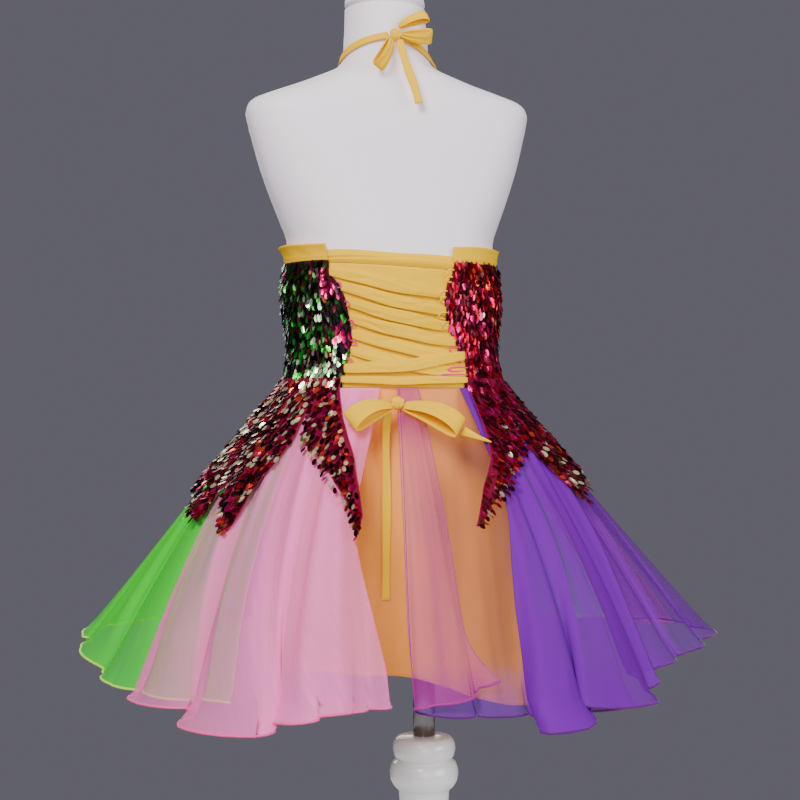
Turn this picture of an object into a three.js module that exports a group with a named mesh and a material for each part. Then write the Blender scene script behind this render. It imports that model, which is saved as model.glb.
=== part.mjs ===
import * as THREE from "three";

// A halter dress with a laced back, sequined points and an organza skirt, on a limbless form.
// Sizes are in millimetres and angles in degrees. +Z is up and the back faces +Y.
// An angle runs round the body from the centre back (0) towards -X, the wearer's right.
// A drop is a depth below the waist seam. Left and right are the wearer's.

// Form and stand
const BASE_RADIUS = 150;
const BASE_HEIGHT = 22;
const POST_TOP = 275;
const POLE_RADIUS = 11.3;
const FORM_FOOT = 455;
const FORM_TOP = 1019;
const NECK_GROOVE = 3;
const NECK_CAP_TOP = 1034;
const FORM_CENTRE_AT_FOOT = 28;
const FORM_LEAN = 0.0226;
const FORM_COLUMNS = 30;
const LONGEST_FORM_STEP = 26;
const SEAT_GAP = 0.3;

// Dress
const WAIST_Z = 632;
const BODY_GAP = 0.8;
const BODICE_WALL = 1.6;
const BAND_WALL = 2.4;
const SKIRT_WALL = 1.4;
const LAYER_STEP = SKIRT_WALL + SEAT_GAP;
const LAYER_SPREAD = 0.03;
const SEAM_HALF_ANGLE = 0.12;
const SIDE_SEAM = 118;
const BACK_FLARE = 0.7;
const SIDE_FLARE = 0.736;
const FULL_DROP = 270;
const FOLD_GROWTH = 1.3;
const POINT_RISE = 10;

// Half width, half depth and fullness (2 is an ellipse, more is squarer) of the form by height
const FORM_SECTIONS = [
  { z: 455, width: 104, depth: 72, fullness: 2.3 },
  { z: 462, width: 113, depth: 79, fullness: 2.3 },
  { z: 480, width: 117, depth: 83, fullness: 2.3 },
  { z: 520, width: 119, depth: 85, fullness: 2.3 },
  { z: 560, width: 118, depth: 81, fullness: 2.3 },
  { z: 600, width: 115, depth: 73.5, fullness: 2.3 },
  { z: 632, width: 111.5, depth: 68, fullness: 2.3 },
  { z: 650, width: 107, depth: 67, fullness: 2.3 },
  { z: 672, width: 104.5, depth: 67, fullness: 2.3 },
  { z: 692, width: 106, depth: 69, fullness: 2.3 },
  { z: 717, width: 109, depth: 74, fullness: 2.3 },
  { z: 740, width: 108, depth: 77, fullness: 2.3 },
  { z: 760, width: 106, depth: 77, fullness: 2.3 },
  { z: 781, width: 105.5, depth: 74, fullness: 2.35 },
  { z: 800, width: 112, depth: 70, fullness: 2.4 },
  { z: 820, width: 119.5, depth: 66, fullness: 2.5 },
  { z: 854, width: 131, depth: 60, fullness: 2.7 },
  { z: 881, width: 138, depth: 56, fullness: 2.9 },
  { z: 900, width: 142.5, depth: 53, fullness: 3 },
  { z: 914, width: 144, depth: 51, fullness: 2.9 },
  { z: 924, width: 137, depth: 48.5, fullness: 2.7 },
  { z: 932, width: 117.5, depth: 46.5, fullness: 2.5 },
  { z: 940, width: 94.8, depth: 45, fullness: 2.3 },
  { z: 948.6, width: 73, depth: 44, fullness: 2.1 },
  { z: 957.5, width: 52.5, depth: 43, fullness: 2 },
  { z: 965, width: 45.8, depth: 42.5, fullness: 2 },
  { z: 985, width: 43, depth: 41.5, fullness: 2 },
  { z: 1019, width: 41, depth: 40, fullness: 2 },
];

const POST_PROFILE = [
  { z: 22.3, radius: 0 },
  { z: 22.3, radius: 46 },
  { z: 30, radius: 46 },
  { z: 38, radius: 36 },
  { z: 55, radius: 28 },
  { z: 90, radius: 25.2 },
  { z: 190, radius: 25.2 },
  { z: 219, radius: 26 },
  { z: 224, radius: 31 },
  { z: 231, radius: 34.6 },
  { z: 240, radius: 35.2 },
  { z: 248, radius: 32.5 },
  { z: 251, radius: 28.5 },
  { z: 254, radius: 30.5 },
  { z: 261, radius: 32.3 },
  { z: 269, radius: 31.3 },
  { z: 273.5, radius: 28 },
  { z: 275, radius: 23 },
  { z: 275, radius: 0 },
];

// The two edges of the yellow back panel, straight from row to row and upright above the last
const BACK_EDGES = [
  { z: 632, left: -43, right: 46 },
  { z: 642, left: -44, right: 47.5 },
  { z: 659, left: -40.5, right: 48.5 },
  { z: 674, left: -37.5, right: 43 },
  { z: 692, left: -37, right: 35.7 },
  { z: 719, left: -38.3, right: 30.5 },
  { z: 734, left: -41.5, right: 32 },
  { z: 744, left: -47, right: 35.5 },
];

// Height of the sequined cloth's top edge round the body: low at the back, high in front
const TOP_EDGE = [
  { angle: -180, z: 797 },
  { angle: -150, z: 800 },
  { angle: -125, z: 774 },
  { angle: -100, z: 760 },
  { angle: -50, z: 757 },
  { angle: 36, z: 755 },
  { angle: 100, z: 760 },
  { angle: 125, z: 774 },
  { angle: 150, z: 800 },
  { angle: 180, z: 797 },
];

// The stretches of lace that show: height at each end, width, and how many laces lie under it
const LACE_STRETCHES = [
  { zLeft: 746, zRight: 724, width: 13, under: 0, sag: -2 },
  { zLeft: 731, zRight: 707.5, width: 13, under: 0, sag: -2.3 },
  { zLeft: 715.5, zRight: 692.5, width: 13, under: 0, sag: -2.3 },
  { zLeft: 700, zRight: 677.5, width: 13, under: 0, sag: -2.3 },
  { zLeft: 684.5, zRight: 662.5, width: 13, under: 0, sag: -2.8 },
  { zLeft: 668.5, zRight: 647.5, width: 12.5, under: 0, sag: -3 },
  { zLeft: 651, zRight: 664, width: 12.5, under: 1, sag: -3 },
  { zLeft: 640, zRight: 640, width: 8.5, under: 1, sag: -0.5 },
];

// Skirt folds: place, reach at the hem and half width
const FOLDS = [
  { angle: -158, reach: 15, halfWidth: 10 },
  { angle: -139, reach: 18, halfWidth: 10 },
  { angle: -118, reach: 14, halfWidth: 11 },
  { angle: -97, reach: 17, halfWidth: 10 },
  { angle: -78, reach: 14, halfWidth: 9 },
  { angle: -62, reach: 12, halfWidth: 7 },
  { angle: -49, reach: 18, halfWidth: 7 },
  { angle: -36, reach: 22, halfWidth: 8 },
  { angle: -21, reach: 17, halfWidth: 8 },
  { angle: -9, reach: 9, halfWidth: 5 },
  { angle: 0, reach: 14, halfWidth: 6 },
  { angle: 11, reach: 10, halfWidth: 6 },
  { angle: 20, reach: 22, halfWidth: 6 },
  { angle: 32, reach: 20, halfWidth: 8 },
  { angle: 47, reach: 14, halfWidth: 8 },
  { angle: 62, reach: 12, halfWidth: 9 },
  { angle: 80, reach: 17, halfWidth: 10 },
  { angle: 100, reach: 15, halfWidth: 11 },
  { angle: 121, reach: 18, halfWidth: 11 },
  { angle: 142, reach: 14, halfWidth: 10 },
  { angle: 161, reach: 17, halfWidth: 10 },
  { angle: 181, reach: 14, halfWidth: 10 },
];

// How far the folds lean from where they hang at the hem to where they start at the waist
const LEAN = [
  { angle: -180, lean: 0 },
  { angle: -125, lean: 0 },
  { angle: -96, lean: -8 },
  { angle: -56, lean: -24 },
  { angle: -36, lean: -21 },
  { angle: -20, lean: -12 },
  { angle: -5, lean: 0 },
  { angle: 5, lean: 5 },
  { angle: 10, lean: 11 },
  { angle: 16, lean: 19 },
  { angle: 25, lean: 24 },
  { angle: 42, lean: 24 },
  { angle: 62, lean: 18 },
  { angle: 90, lean: 7 },
  { angle: 125, lean: 0 },
  { angle: 180, lean: 0 },
];

// Organza panels: side edges by drop, as angles of the folds at the hem, and the drop of the
// hem from the left edge to the right
const ORGANZA = [
  {
    name: "organza_green_left",
    layer: 1,
    colour: 0x62cc5c,
    edges: [
      { drop: 0, left: -120, right: -36 },
      { drop: 300, left: -124, right: -36 },
    ],
    hem: [256, 251, 248, 252, 268, 272, 270],
  },
  {
    name: "organza_pink_left",
    layer: 2,
    colour: 0xf5a3c8,
    edges: [
      { drop: 0, left: -58, right: -12 },
      { drop: 60, left: -58, right: -14 },
      { drop: 125, left: -56, right: -16 },
      { drop: 200, left: -57, right: -12 },
      { drop: 300, left: -57.5, right: -8 },
    ],
    hem: [268, 275, 278, 289, 292, 286, 276, 273, 269],
  },
  {
    name: "organza_mauve_back",
    layer: 2,
    colour: 0xc070b0,
    edges: [
      { drop: 0, left: -5, right: 5.6 },
      { drop: 90, left: -5.3, right: 5.6 },
      { drop: 165, left: -5.6, right: 5.4 },
      { drop: 215, left: -6, right: 5 },
      { drop: 236, left: -6, right: 7.5 },
      { drop: 275, left: -6, right: 13.5 },
    ],
    hem: [273, 270, 265, 259, 253],
  },
  {
    name: "organza_purple_back",
    layer: 1,
    colour: 0x8a4cc0,
    edges: [
      { drop: 0, left: -4, right: 33 },
      { drop: 300, left: -6, right: 33 },
    ],
    hem: [274, 280, 281, 281, 282, 280],
  },
  {
    name: "organza_purple_right",
    layer: 2,
    colour: 0x7d37b8,
    edges: [
      { drop: 0, left: 19.5, right: 44 },
      { drop: 112, left: 17.3, right: 44 },
      { drop: 195, left: 15, right: 43 },
      { drop: 254, left: 14.6, right: 42.5 },
      { drop: 300, left: 13.4, right: 42 },
    ],
    hem: [293, 291, 280, 276, 279, 276, 266],
  },
  {
    name: "organza_purple_side",
    layer: 1,
    colour: 0x7d46b4,
    edges: [
      { drop: 0, left: 37, right: 114 },
      { drop: 300, left: 36, right: 118 },
    ],
    hem: [262, 254, 250, 249, 252, 256, 260],
  },
  {
    name: "organza_pink_front",
    layer: 2,
    colour: 0xf5a3c8,
    edges: [
      { drop: 0, left: 98, right: 160 },
      { drop: 300, left: 104, right: 166 },
    ],
    hem: [258, 264, 262, 268, 266, 270],
  },
  {
    name: "organza_green_front",
    layer: 1,
    colour: 0x62cc5c,
    edges: [
      { drop: 0, left: 117, right: 182 },
      { drop: 300, left: 121, right: 182 },
    ],
    hem: [262, 268, 264, 270, 268, 266],
  },
  {
    name: "organza_mauve_front",
    layer: 2,
    colour: 0xc070b0,
    edges: [
      { drop: 0, left: 162, right: 216 },
      { drop: 300, left: 168, right: 212 },
    ],
    hem: [268, 266, 270, 264, 266],
  },
  {
    name: "organza_purple_front",
    layer: 1,
    colour: 0x7d46b4,
    edges: [
      { drop: 0, left: 184, right: 238 },
      { drop: 300, left: 184, right: 234 },
    ],
    hem: [266, 268, 264, 268, 262],
  },
];

// Sequined points over the skirt: side edges by drop, down to the tip
const POINTS = [
  {
    name: "point_left_back",
    edges: [
      { drop: 0, left: -55, right: -43.3 },
      { drop: 37, left: -50.5, right: -32 },
      { drop: 50, left: -48, right: -28.5 },
      { drop: 65, left: -39, right: -25 },
      { drop: 80, left: -31.5, right: -22.7 },
      { drop: 98, left: -26, right: -20 },
      { drop: 117, left: -21.5, right: -18 },
      { drop: 134, left: -19.4, right: -18.6 },
    ],
  },
  {
    name: "point_left_rear",
    edges: [
      { drop: 0, left: -78, right: -55.5 },
      { drop: 48, left: -74.2, right: -51.8 },
      { drop: 62, left: -72.2, right: -52.4 },
      { drop: 88, left: -68.6, right: -54.2 },
      { drop: 104, left: -64, right: -56.9 },
      { drop: 120, left: -60.2, right: -56.6 },
      { drop: 134.5, left: -57.1, right: -56.3 },
    ],
  },
  {
    name: "point_left_side",
    edges: [
      { drop: 0, left: -118, right: -78.5 },
      { drop: 48, left: -112, right: -74.7 },
      { drop: 62, left: -104, right: -72.7 },
      { drop: 88, left: -91, right: -69.1 },
      { drop: 106, left: -80.5, right: -66.8 },
      { drop: 118, left: -75, right: -68.8 },
      { drop: 126, left: -71.6, right: -70.8 },
    ],
  },
  {
    name: "point_right_back",
    edges: [
      { drop: 0, left: 46.3, right: 60 },
      { drop: 22, left: 42.1, right: 57.5 },
      { drop: 44, left: 37.9, right: 55 },
      { drop: 54, left: 35.9, right: 53.2 },
      { drop: 68, left: 32.8, right: 45.6 },
      { drop: 90, left: 26.2, right: 34 },
      { drop: 107, left: 20.9, right: 26 },
      { drop: 128, left: 16.2, right: 17 },
    ],
  },
  {
    name: "point_right_side",
    edges: [
      { drop: 0, left: 60.5, right: 118 },
      { drop: 54, left: 54, right: 104 },
      { drop: 70, left: 57.5, right: 92 },
      { drop: 83, left: 58, right: 80 },
      { drop: 98, left: 59, right: 69 },
      { drop: 109, left: 59.6, right: 60.6 },
    ],
  },
  {
    name: "point_front_right",
    edges: [
      { drop: 0, left: 118.5, right: 179.7 },
      { drop: 60, left: 122, right: 176 },
      { drop: 100, left: 136, right: 160 },
      { drop: 130, left: 147.5, right: 148.5 },
    ],
  },
  {
    name: "point_front_left",
    edges: [
      { drop: 0, left: 180.2, right: 241.4 },
      { drop: 60, left: 184, right: 238 },
      { drop: 100, left: 200, right: 224 },
      { drop: 130, left: 211.5, right: 212.5 },
    ],
  },
];

// Neck straps over the form, from the front band up round the neck to the knot
const STRAP_LEFT = [
  { z: 816.9, angle: -150 },
  { z: 850, angle: -149 },
  { z: 885, angle: -146 },
  { z: 915, angle: -140 },
  { z: 940, angle: -130 },
  { z: 957, angle: -117 },
  { z: 966, angle: -102 },
  { z: 969, angle: -82 },
  { z: 975, angle: -58 },
  { z: 980, angle: -34 },
  { z: 983, angle: -14 },
  { z: 984, angle: -4.5 },
];
const STRAP_RIGHT = [
  { z: 816.9, angle: 150 },
  { z: 850, angle: 149 },
  { z: 885, angle: 146 },
  { z: 915, angle: 140 },
  { z: 938, angle: 130 },
  { z: 952, angle: 117 },
  { z: 959, angle: 100 },
  { z: 963, angle: 80 },
  { z: 970, angle: 58 },
  { z: 977, angle: 36 },
  { z: 982, angle: 20 },
  { z: 983, angle: 14.5 },
];

const COLOURS = {
  form: 0xe9e2ea,
  steel: 0x8d8d90,
  post: 0xf4f3f1,
  yellow: 0xf6bf33,
  sequinGreen: 0x2b5a25,
  sequinRed: 0x9b0f35,
  sequinPink: 0xc0305f,
  peach: 0xe39a5c,
};

const radians = THREE.MathUtils.degToRad;
const lerp = THREE.MathUtils.lerp;

function polished(colour, roughness, metalness) {
  return new THREE.MeshStandardMaterial({ color: colour, roughness, metalness });
}

const fabric = (colour) => polished(colour, 0.8, 0);
const sequined = (colour) => polished(colour, 0.35, 0.4);
const yellowSatin = fabric(COLOURS.yellow);

// One column of a table at a value of its key column, on a smooth curve through the rows
function curveAt(rows, key, column, value) {
  const last = rows.length - 1;
  if (value <= rows[0][key]) return rows[0][column];
  if (value >= rows[last][key]) return rows[last][column];
  let i = 0;
  while (value > rows[i + 1][key]) i += 1;
  const slope = (a, b) => (rows[b][column] - rows[a][column]) / (rows[b][key] - rows[a][key]);
  const span = rows[i + 1][key] - rows[i][key];
  const here = slope(i, i + 1);
  const before = i > 0 ? (slope(i - 1, i) + here) / 2 : here;
  const after = i + 2 <= last ? (slope(i + 1, i + 2) + here) / 2 : here;
  const t = (value - rows[i][key]) / span;
  const bend = t * (1 - t) * span;
  const straight = lerp(rows[i][column], rows[i + 1][column], t);
  return straight + bend * ((before - here) * (1 - t) - (after - here) * t);
}

// One column of a table at a value of its key column, on straight lines between the rows
function lineAt(rows, key, column, value) {
  const last = rows.length - 1;
  let i = 0;
  while (i < last - 1 && value > rows[i + 1][key]) i += 1;
  const t = (value - rows[i][key]) / (rows[i + 1][key] - rows[i][key]);
  return lerp(rows[i][column], rows[i + 1][column], THREE.MathUtils.clamp(t, 0, 1));
}

function lineThrough(values, u) {
  const place = u * (values.length - 1);
  const i = Math.min(Math.floor(place), values.length - 2);
  return lerp(values[i], values[i + 1], place - i);
}

// The angle brought between -180 and 180
function wrapped(angle) {
  return angle - 360 * Math.round(angle / 360);
}

function sectionRadius(z, angle) {
  const width = curveAt(FORM_SECTIONS, "z", "width", z);
  const depth = curveAt(FORM_SECTIONS, "z", "depth", z);
  const power = curveAt(FORM_SECTIONS, "z", "fullness", z);
  const across = Math.abs(Math.sin(radians(angle))) / width;
  const along = Math.abs(Math.cos(radians(angle))) / depth;
  return (across ** power + along ** power) ** (-1 / power);
}

function pointRound(z, angle, radius) {
  const centre = FORM_CENTRE_AT_FOOT + (z - FORM_FOOT) * FORM_LEAN;
  const turn = radians(angle);
  return new THREE.Vector3(centre - radius * Math.sin(turn), radius * Math.cos(turn), z);
}

function bodyPoint(z, angle, out) {
  return pointRound(z, angle, sectionRadius(z, angle) + out);
}

function bodyNormal(z, angle) {
  const step = 0.5;
  const up = bodyPoint(z + step, angle, 0).sub(bodyPoint(z - step, angle, 0));
  const round = bodyPoint(z, angle + step, 0).sub(bodyPoint(z, angle - step, 0));
  return round.cross(up).normalize();
}

function foldReach(angle) {
  return FOLDS.reduce((sum, fold) => {
    const away = wrapped(angle - fold.angle) / fold.halfWidth;
    return Math.abs(away) < 1 ? sum + fold.reach * Math.cos((away * Math.PI) / 2) ** 2 : sum;
  }, 0);
}

// The angle at which a fold that hangs at hemAngle passes a drop
function leaned(hemAngle, drop) {
  const share = THREE.MathUtils.clamp(1 - drop / FULL_DROP, 0, 1);
  return hemAngle + curveAt(LEAN, "angle", "lean", wrapped(hemAngle)) * share;
}

// The hem angle of the fold that passes an angle at a drop
function unleaned(angle, drop) {
  const tries = 30;
  const damping = 0.4;
  let hemAngle = angle;
  for (let i = 0; i < tries; i += 1) hemAngle -= damping * (leaned(hemAngle, drop) - angle);
  return hemAngle;
}

// A point of the flared organza, moved out by a distance
function skirtPoint(angle, drop, out) {
  const fall = Math.max(drop, 0);
  const flare = lerp(BACK_FLARE, SIDE_FLARE, Math.sin(radians(angle)) ** 2);
  const fold = foldReach(unleaned(angle, drop)) * (fall / FULL_DROP) ** FOLD_GROWTH;
  const z = WAIST_Z - drop;
  const waist = sectionRadius(Math.max(z, WAIST_Z), angle);
  return pointRound(z, angle, waist + flare * fall + fold + out);
}

function layerOut(layer, drop) {
  return BODY_GAP + layer * (LAYER_STEP + LAYER_SPREAD * Math.max(drop, 0));
}

function signedVolume(points, faces) {
  return faces.reduce((sum, [a, b, c]) => {
    return sum + points[a].dot(points[b].clone().cross(points[c])) / 6;
  }, 0);
}

// A closed geometry from points and triangles, with its faces turned outwards
function solid(points, faces) {
  const inward = signedVolume(points, faces) < 0;
  const order = faces.flatMap(([a, b, c]) => (inward ? [a, c, b] : [a, b, c]));
  const geometry = new THREE.BufferGeometry().setFromPoints(points);
  geometry.setIndex(order);
  geometry.computeVertexNormals();
  return geometry;
}

// A closed wall between two grids. pointAt(u, v, side) gives its inner (0) and outer (1) points.
function wall(columns, rows, pointAt) {
  const points = [];
  for (const side of [0, 1]) {
    for (let j = 0; j <= rows; j += 1) {
      for (let i = 0; i <= columns; i += 1) points.push(pointAt(i / columns, j / rows, side));
    }
  }
  const index = (i, j, side) => (side * (rows + 1) + j) * (columns + 1) + i;
  const faces = [];
  const quad = (a, b, c, d) => faces.push([a, b, c], [a, c, d]);
  for (let j = 0; j < rows; j += 1) {
    for (let i = 0; i < columns; i += 1) {
      quad(index(i, j, 1), index(i + 1, j, 1), index(i + 1, j + 1, 1), index(i, j + 1, 1));
      quad(index(i, j, 0), index(i, j + 1, 0), index(i + 1, j + 1, 0), index(i + 1, j, 0));
    }
  }
  for (let i = 0; i < columns; i += 1) {
    quad(index(i, 0, 0), index(i + 1, 0, 0), index(i + 1, 0, 1), index(i, 0, 1));
    quad(index(i, rows, 0), index(i, rows, 1), index(i + 1, rows, 1), index(i + 1, rows, 0));
  }
  for (let j = 0; j < rows; j += 1) {
    quad(index(0, j, 0), index(0, j, 1), index(0, j + 1, 1), index(0, j + 1, 0));
    const [a, b] = [index(columns, j, 0), index(columns, j + 1, 0)];
    quad(a, b, index(columns, j + 1, 1), index(columns, j, 1));
  }
  return solid(points, faces);
}

// A closed body from a stack of rings, each a list of points in turn
function loft(rings) {
  const count = rings[0].length;
  const points = rings.flat();
  const faces = [];
  for (let j = 0; j + 1 < rings.length; j += 1) {
    for (let i = 0; i < count; i += 1) {
      const a = j * count + i;
      const b = j * count + ((i + 1) % count);
      faces.push([a, b, b + count], [a, b + count, a + count]);
    }
  }
  for (const [ring, turn] of [[0, 1], [rings.length - 1, 0]]) {
    const middle = points.length;
    const sum = rings[ring].reduce((total, point) => total.add(point), new THREE.Vector3());
    points.push(sum.divideScalar(count));
    for (let i = 0; i < count; i += 1) {
      const a = ring * count + i;
      const b = ring * count + ((i + 1) % count);
      faces.push(turn ? [b, a, middle] : [a, b, middle]);
    }
  }
  return solid(points, faces);
}

function turned(profile, segments) {
  const outline = profile.map(({ z, radius }) => new THREE.Vector2(radius, z));
  return new THREE.LatheGeometry(outline, segments).rotateX(Math.PI / 2);
}

// A flat band along a path. across gives its width direction at each point of the path.
function ribbon(path, across, widthAt, thickness) {
  const rows = path.length - 1;
  return wall(2, rows, (u, v, side) => {
    const j = Math.round(v * rows);
    const ahead = path[Math.min(j + 1, rows)];
    const behind = path[Math.max(j - 1, 0)];
    const along = ahead.clone().sub(behind).normalize();
    const wide = across(v).clone();
    wide.addScaledVector(along, -wide.dot(along)).normalize();
    const facing = along.clone().cross(wide).normalize();
    const puff = u === 0.5 ? 1 : 0.75;
    return path[j]
      .clone()
      .addScaledVector(wide, (u - 0.5) * widthAt(v))
      .addScaledVector(facing, (side - 0.5) * thickness * puff);
  });
}

const dress = new THREE.Group();

function add(name, geometry, material) {
  const mesh = new THREE.Mesh(geometry, material);
  mesh.name = name;
  dress.add(mesh);
}

function addForm() {
  const white = polished(COLOURS.form, 0.55, 0);
  const heights = FORM_SECTIONS.flatMap(({ z }, i) => {
    const next = FORM_SECTIONS[i + 1];
    return next && next.z - z > LONGEST_FORM_STEP ? [z, (z + next.z) / 2] : [z];
  });
  const ring = (z, height, inset) =>
    Array.from({ length: FORM_COLUMNS }, (_, i) => {
      const angle = (360 * i) / FORM_COLUMNS;
      return pointRound(height, angle, sectionRadius(z, angle) - inset);
    });
  add("form_torso", loft(heights.map((z) => ring(z, z, 0))), white);
  const capFoot = FORM_TOP + SEAT_GAP;
  const capEdge = capFoot + NECK_GROOVE;
  const capProfile = [
    { z: capFoot, inset: 4 },
    { z: capEdge, inset: 4 },
    { z: capEdge + 0.5, inset: 0 },
    { z: NECK_CAP_TOP - 6, inset: 0.8 },
    { z: NECK_CAP_TOP - 2.5, inset: 4 },
    { z: NECK_CAP_TOP, inset: 14 },
  ];
  const capRings = capProfile.map(({ z, inset }) => ring(FORM_TOP, z, inset));
  add("form_neck_cap", loft(capRings), white);
}

function addStand() {
  const steel = polished(COLOURS.steel, 0.2, 1);
  const gloss = polished(COLOURS.post, 0.15, 0);
  const poleFoot = POST_TOP + SEAT_GAP;
  const poleTop = FORM_FOOT - SEAT_GAP;
  const pole = new THREE.CylinderGeometry(POLE_RADIUS, POLE_RADIUS, poleTop - poleFoot, 20);
  pole.rotateX(Math.PI / 2).translate(0, 0, (poleTop + poleFoot) / 2);
  add("stand_pole", pole, steel);
  add("stand_post", turned(POST_PROFILE, 24), gloss);
  const baseProfile = [
    { z: 0, radius: 0 },
    { z: 0, radius: BASE_RADIUS - 2 },
    { z: 3, radius: BASE_RADIUS },
    { z: BASE_HEIGHT - 8, radius: BASE_RADIUS },
    { z: BASE_HEIGHT - 2, radius: BASE_RADIUS - 5 },
    { z: BASE_HEIGHT, radius: BASE_RADIUS - 12 },
    { z: BASE_HEIGHT, radius: 0 },
  ];
  add("stand_base", turned(baseProfile, 36), gloss);
}

const topEdge = (angle) => curveAt(TOP_EDGE, "angle", "z", wrapped(angle));
const backLeft = (z) => lineAt(BACK_EDGES, "z", "left", z);
const backRight = (z) => lineAt(BACK_EDGES, "z", "right", z);

// The height of a bodice row: every piece has its rows at the heights of the edge table, and
// upperRows more between the last of them and its top
function rowHeight(v, top, upperRows) {
  const last = BACK_EDGES.length - 1;
  const row = Math.round(v * (last + upperRows));
  if (row === 0) return WAIST_Z + SEAT_GAP / 2;
  return row <= last ? BACK_EDGES[row].z : lerp(BACK_EDGES[last].z, top, (row - last) / upperRows);
}

// The bodice pieces and the band above each: edges by height, columns and how far the band curls
const BODICE_PIECES = [
  {
    name: "bodice_side_left",
    band: "top_band_left",
    left: () => -SIDE_SEAM,
    right: backLeft,
    columns: 12,
    upperRows: 2,
  },
  {
    name: "bodice_side_right",
    band: "top_band_right",
    left: backRight,
    right: () => SIDE_SEAM,
    columns: 12,
    upperRows: 2,
  },
  {
    name: "bodice_front",
    band: "top_band_front",
    left: () => SIDE_SEAM,
    right: () => 360 - SIDE_SEAM,
    columns: 16,
    upperRows: 4,
  },
];
const BAND_HEIGHT = 16;
const BAND_CURLS = { top_band_left: 7, top_band_right: 4, top_band_front: 1 };
const LEAST_CURL = 0.35;

function addBodicePiece({ name, band, left, right, columns, upperRows }) {
  const angleAt = (u, z) => lerp(left(z) + SEAM_HALF_ANGLE, right(z) - SEAM_HALF_ANGLE, u);
  const topAt = (u) => topEdge(angleAt(u, FORM_TOP));
  const colour = name === "bodice_side_left" ? COLOURS.sequinGreen : COLOURS.sequinRed;
  const panel = wall(columns, BACK_EDGES.length - 1 + upperRows, (u, v, side) => {
    const z = rowHeight(v, topAt(u), upperRows);
    return bodyPoint(z, angleAt(u, z), BODY_GAP + side * BODICE_WALL);
  });
  add(name, panel, sequined(colour));
  // The band's free edge leans away from the body, most where the cloth curls
  const strip = wall(columns, 2, (u, v, side) => {
    const foot = topAt(u);
    const angle = angleAt(u, foot);
    const curl = BAND_CURLS[band] * v * v * lerp(LEAST_CURL, 1, Math.abs(Math.sin(radians(angle))));
    const z = foot + SEAT_GAP + v * BAND_HEIGHT;
    return bodyPoint(z, angle, BODY_GAP + curl + side * BAND_WALL);
  });
  add(band, strip, yellowSatin);
}

// The back panel, its rolled top edge and the lace
const ROLL_HEIGHT = 13;
const ROLL_TOP = { fromAngle: -50, toAngle: 36, from: 768, to: 761 };
const ROLL_EDGE_WALL = 1.4;
const ROLL_BELLY = 3.2;
const ROLL_ROUND_END = 0.08;
const LACE_INSET = 1.5;
const LACE_SEAT = 0.5;
const LACE_STEP = 2.2;
const LACE_END_WIDTH = 0.72;
const LACE_WALL = 1.7;
const LACE_EDGE_WALL = 1.1;

function rollTop(angle) {
  const { fromAngle, toAngle, from, to } = ROLL_TOP;
  return lerp(from, to, THREE.MathUtils.clamp((angle - fromAngle) / (toAngle - fromAngle), 0, 1));
}

function addBack() {
  const angleAt = (u, z) => lerp(backLeft(z) + SEAM_HALF_ANGLE, backRight(z) - SEAM_HALF_ANGLE, u);
  const rollFoot = (u) => rollTop(angleAt(u, FORM_TOP)) - ROLL_HEIGHT;
  const panel = wall(12, BACK_EDGES.length, (u, v, side) => {
    const z = rowHeight(v, rollFoot(u) - SEAT_GAP, 1);
    return bodyPoint(z, angleAt(u, z), BODY_GAP + side * BODICE_WALL);
  });
  add("back_panel", panel, yellowSatin);
  const roll = wall(12, 4, (u, v, side) => {
    const z = rollFoot(u) + v * ROLL_HEIGHT;
    const round = THREE.MathUtils.clamp(v, ROLL_ROUND_END, 1 - ROLL_ROUND_END);
    const thickness = ROLL_EDGE_WALL + ROLL_BELLY * Math.sin(Math.PI * round);
    return bodyPoint(z, angleAt(u, z), BODY_GAP + side * thickness);
  });
  add("back_panel_roll", roll, yellowSatin);
  LACE_STRETCHES.forEach(({ zLeft, zRight, width, under, sag }, i) => {
    const first = backLeft(zLeft) + LACE_INSET;
    const last = backRight(zRight) - LACE_INSET;
    const seat = BODY_GAP + BODICE_WALL + LACE_SEAT + under * LACE_STEP;
    const stretch = wall(2, 10, (u, v, side) => {
      const middle = Math.sin(Math.PI * v);
      const across = (u - 0.5) * width * lerp(LACE_END_WIDTH, 1, middle);
      const thickness = u === 0.5 ? LACE_WALL : LACE_EDGE_WALL;
      return bodyPoint(
        lerp(zLeft, zRight, v) + sag * middle + across,
        lerp(first, last, v),
        seat + side * thickness,
      );
    });
    add(`lace_${i + 1}`, stretch, yellowSatin);
  });
}

const POINT_COLUMN = 5.5;
const POINT_WALL = 1.6;
const POINT_SEAT = 0.7;

function addPoints() {
  for (const { name, edges } of POINTS) {
    const tip = edges[edges.length - 1].drop;
    const columns = Math.max(4, Math.ceil((edges[0].right - edges[0].left) / POINT_COLUMN));
    const piece = wall(columns, 8, (u, v, side) => {
      const drop = lerp(-POINT_RISE, tip, v);
      const left = lineAt(edges, "drop", "left", drop);
      const right = lineAt(edges, "drop", "right", drop);
      const rise = Math.max(-drop, 0) / POINT_RISE;
      const seat = lerp(layerOut(3, drop), BODY_GAP + BODICE_WALL + POINT_SEAT, rise);
      return skirtPoint(lerp(left, right, u), drop, seat + side * POINT_WALL);
    });
    add(name, piece, sequined(COLOURS.sequinPink));
  }
}

// How far the underskirt stands out from its waist by drop: it follows the form's hips
const UNDERSKIRT_PROFILE = [
  { drop: 0, back: 0, side: 0 },
  { drop: 36, back: 9, side: 5.5 },
  { drop: 76, back: 16.5, side: 11 },
  { drop: 112, back: 20.5, side: 14.5 },
  { drop: 200, back: 27, side: 19 },
  { drop: 316, back: 38, side: 27 },
];
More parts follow.
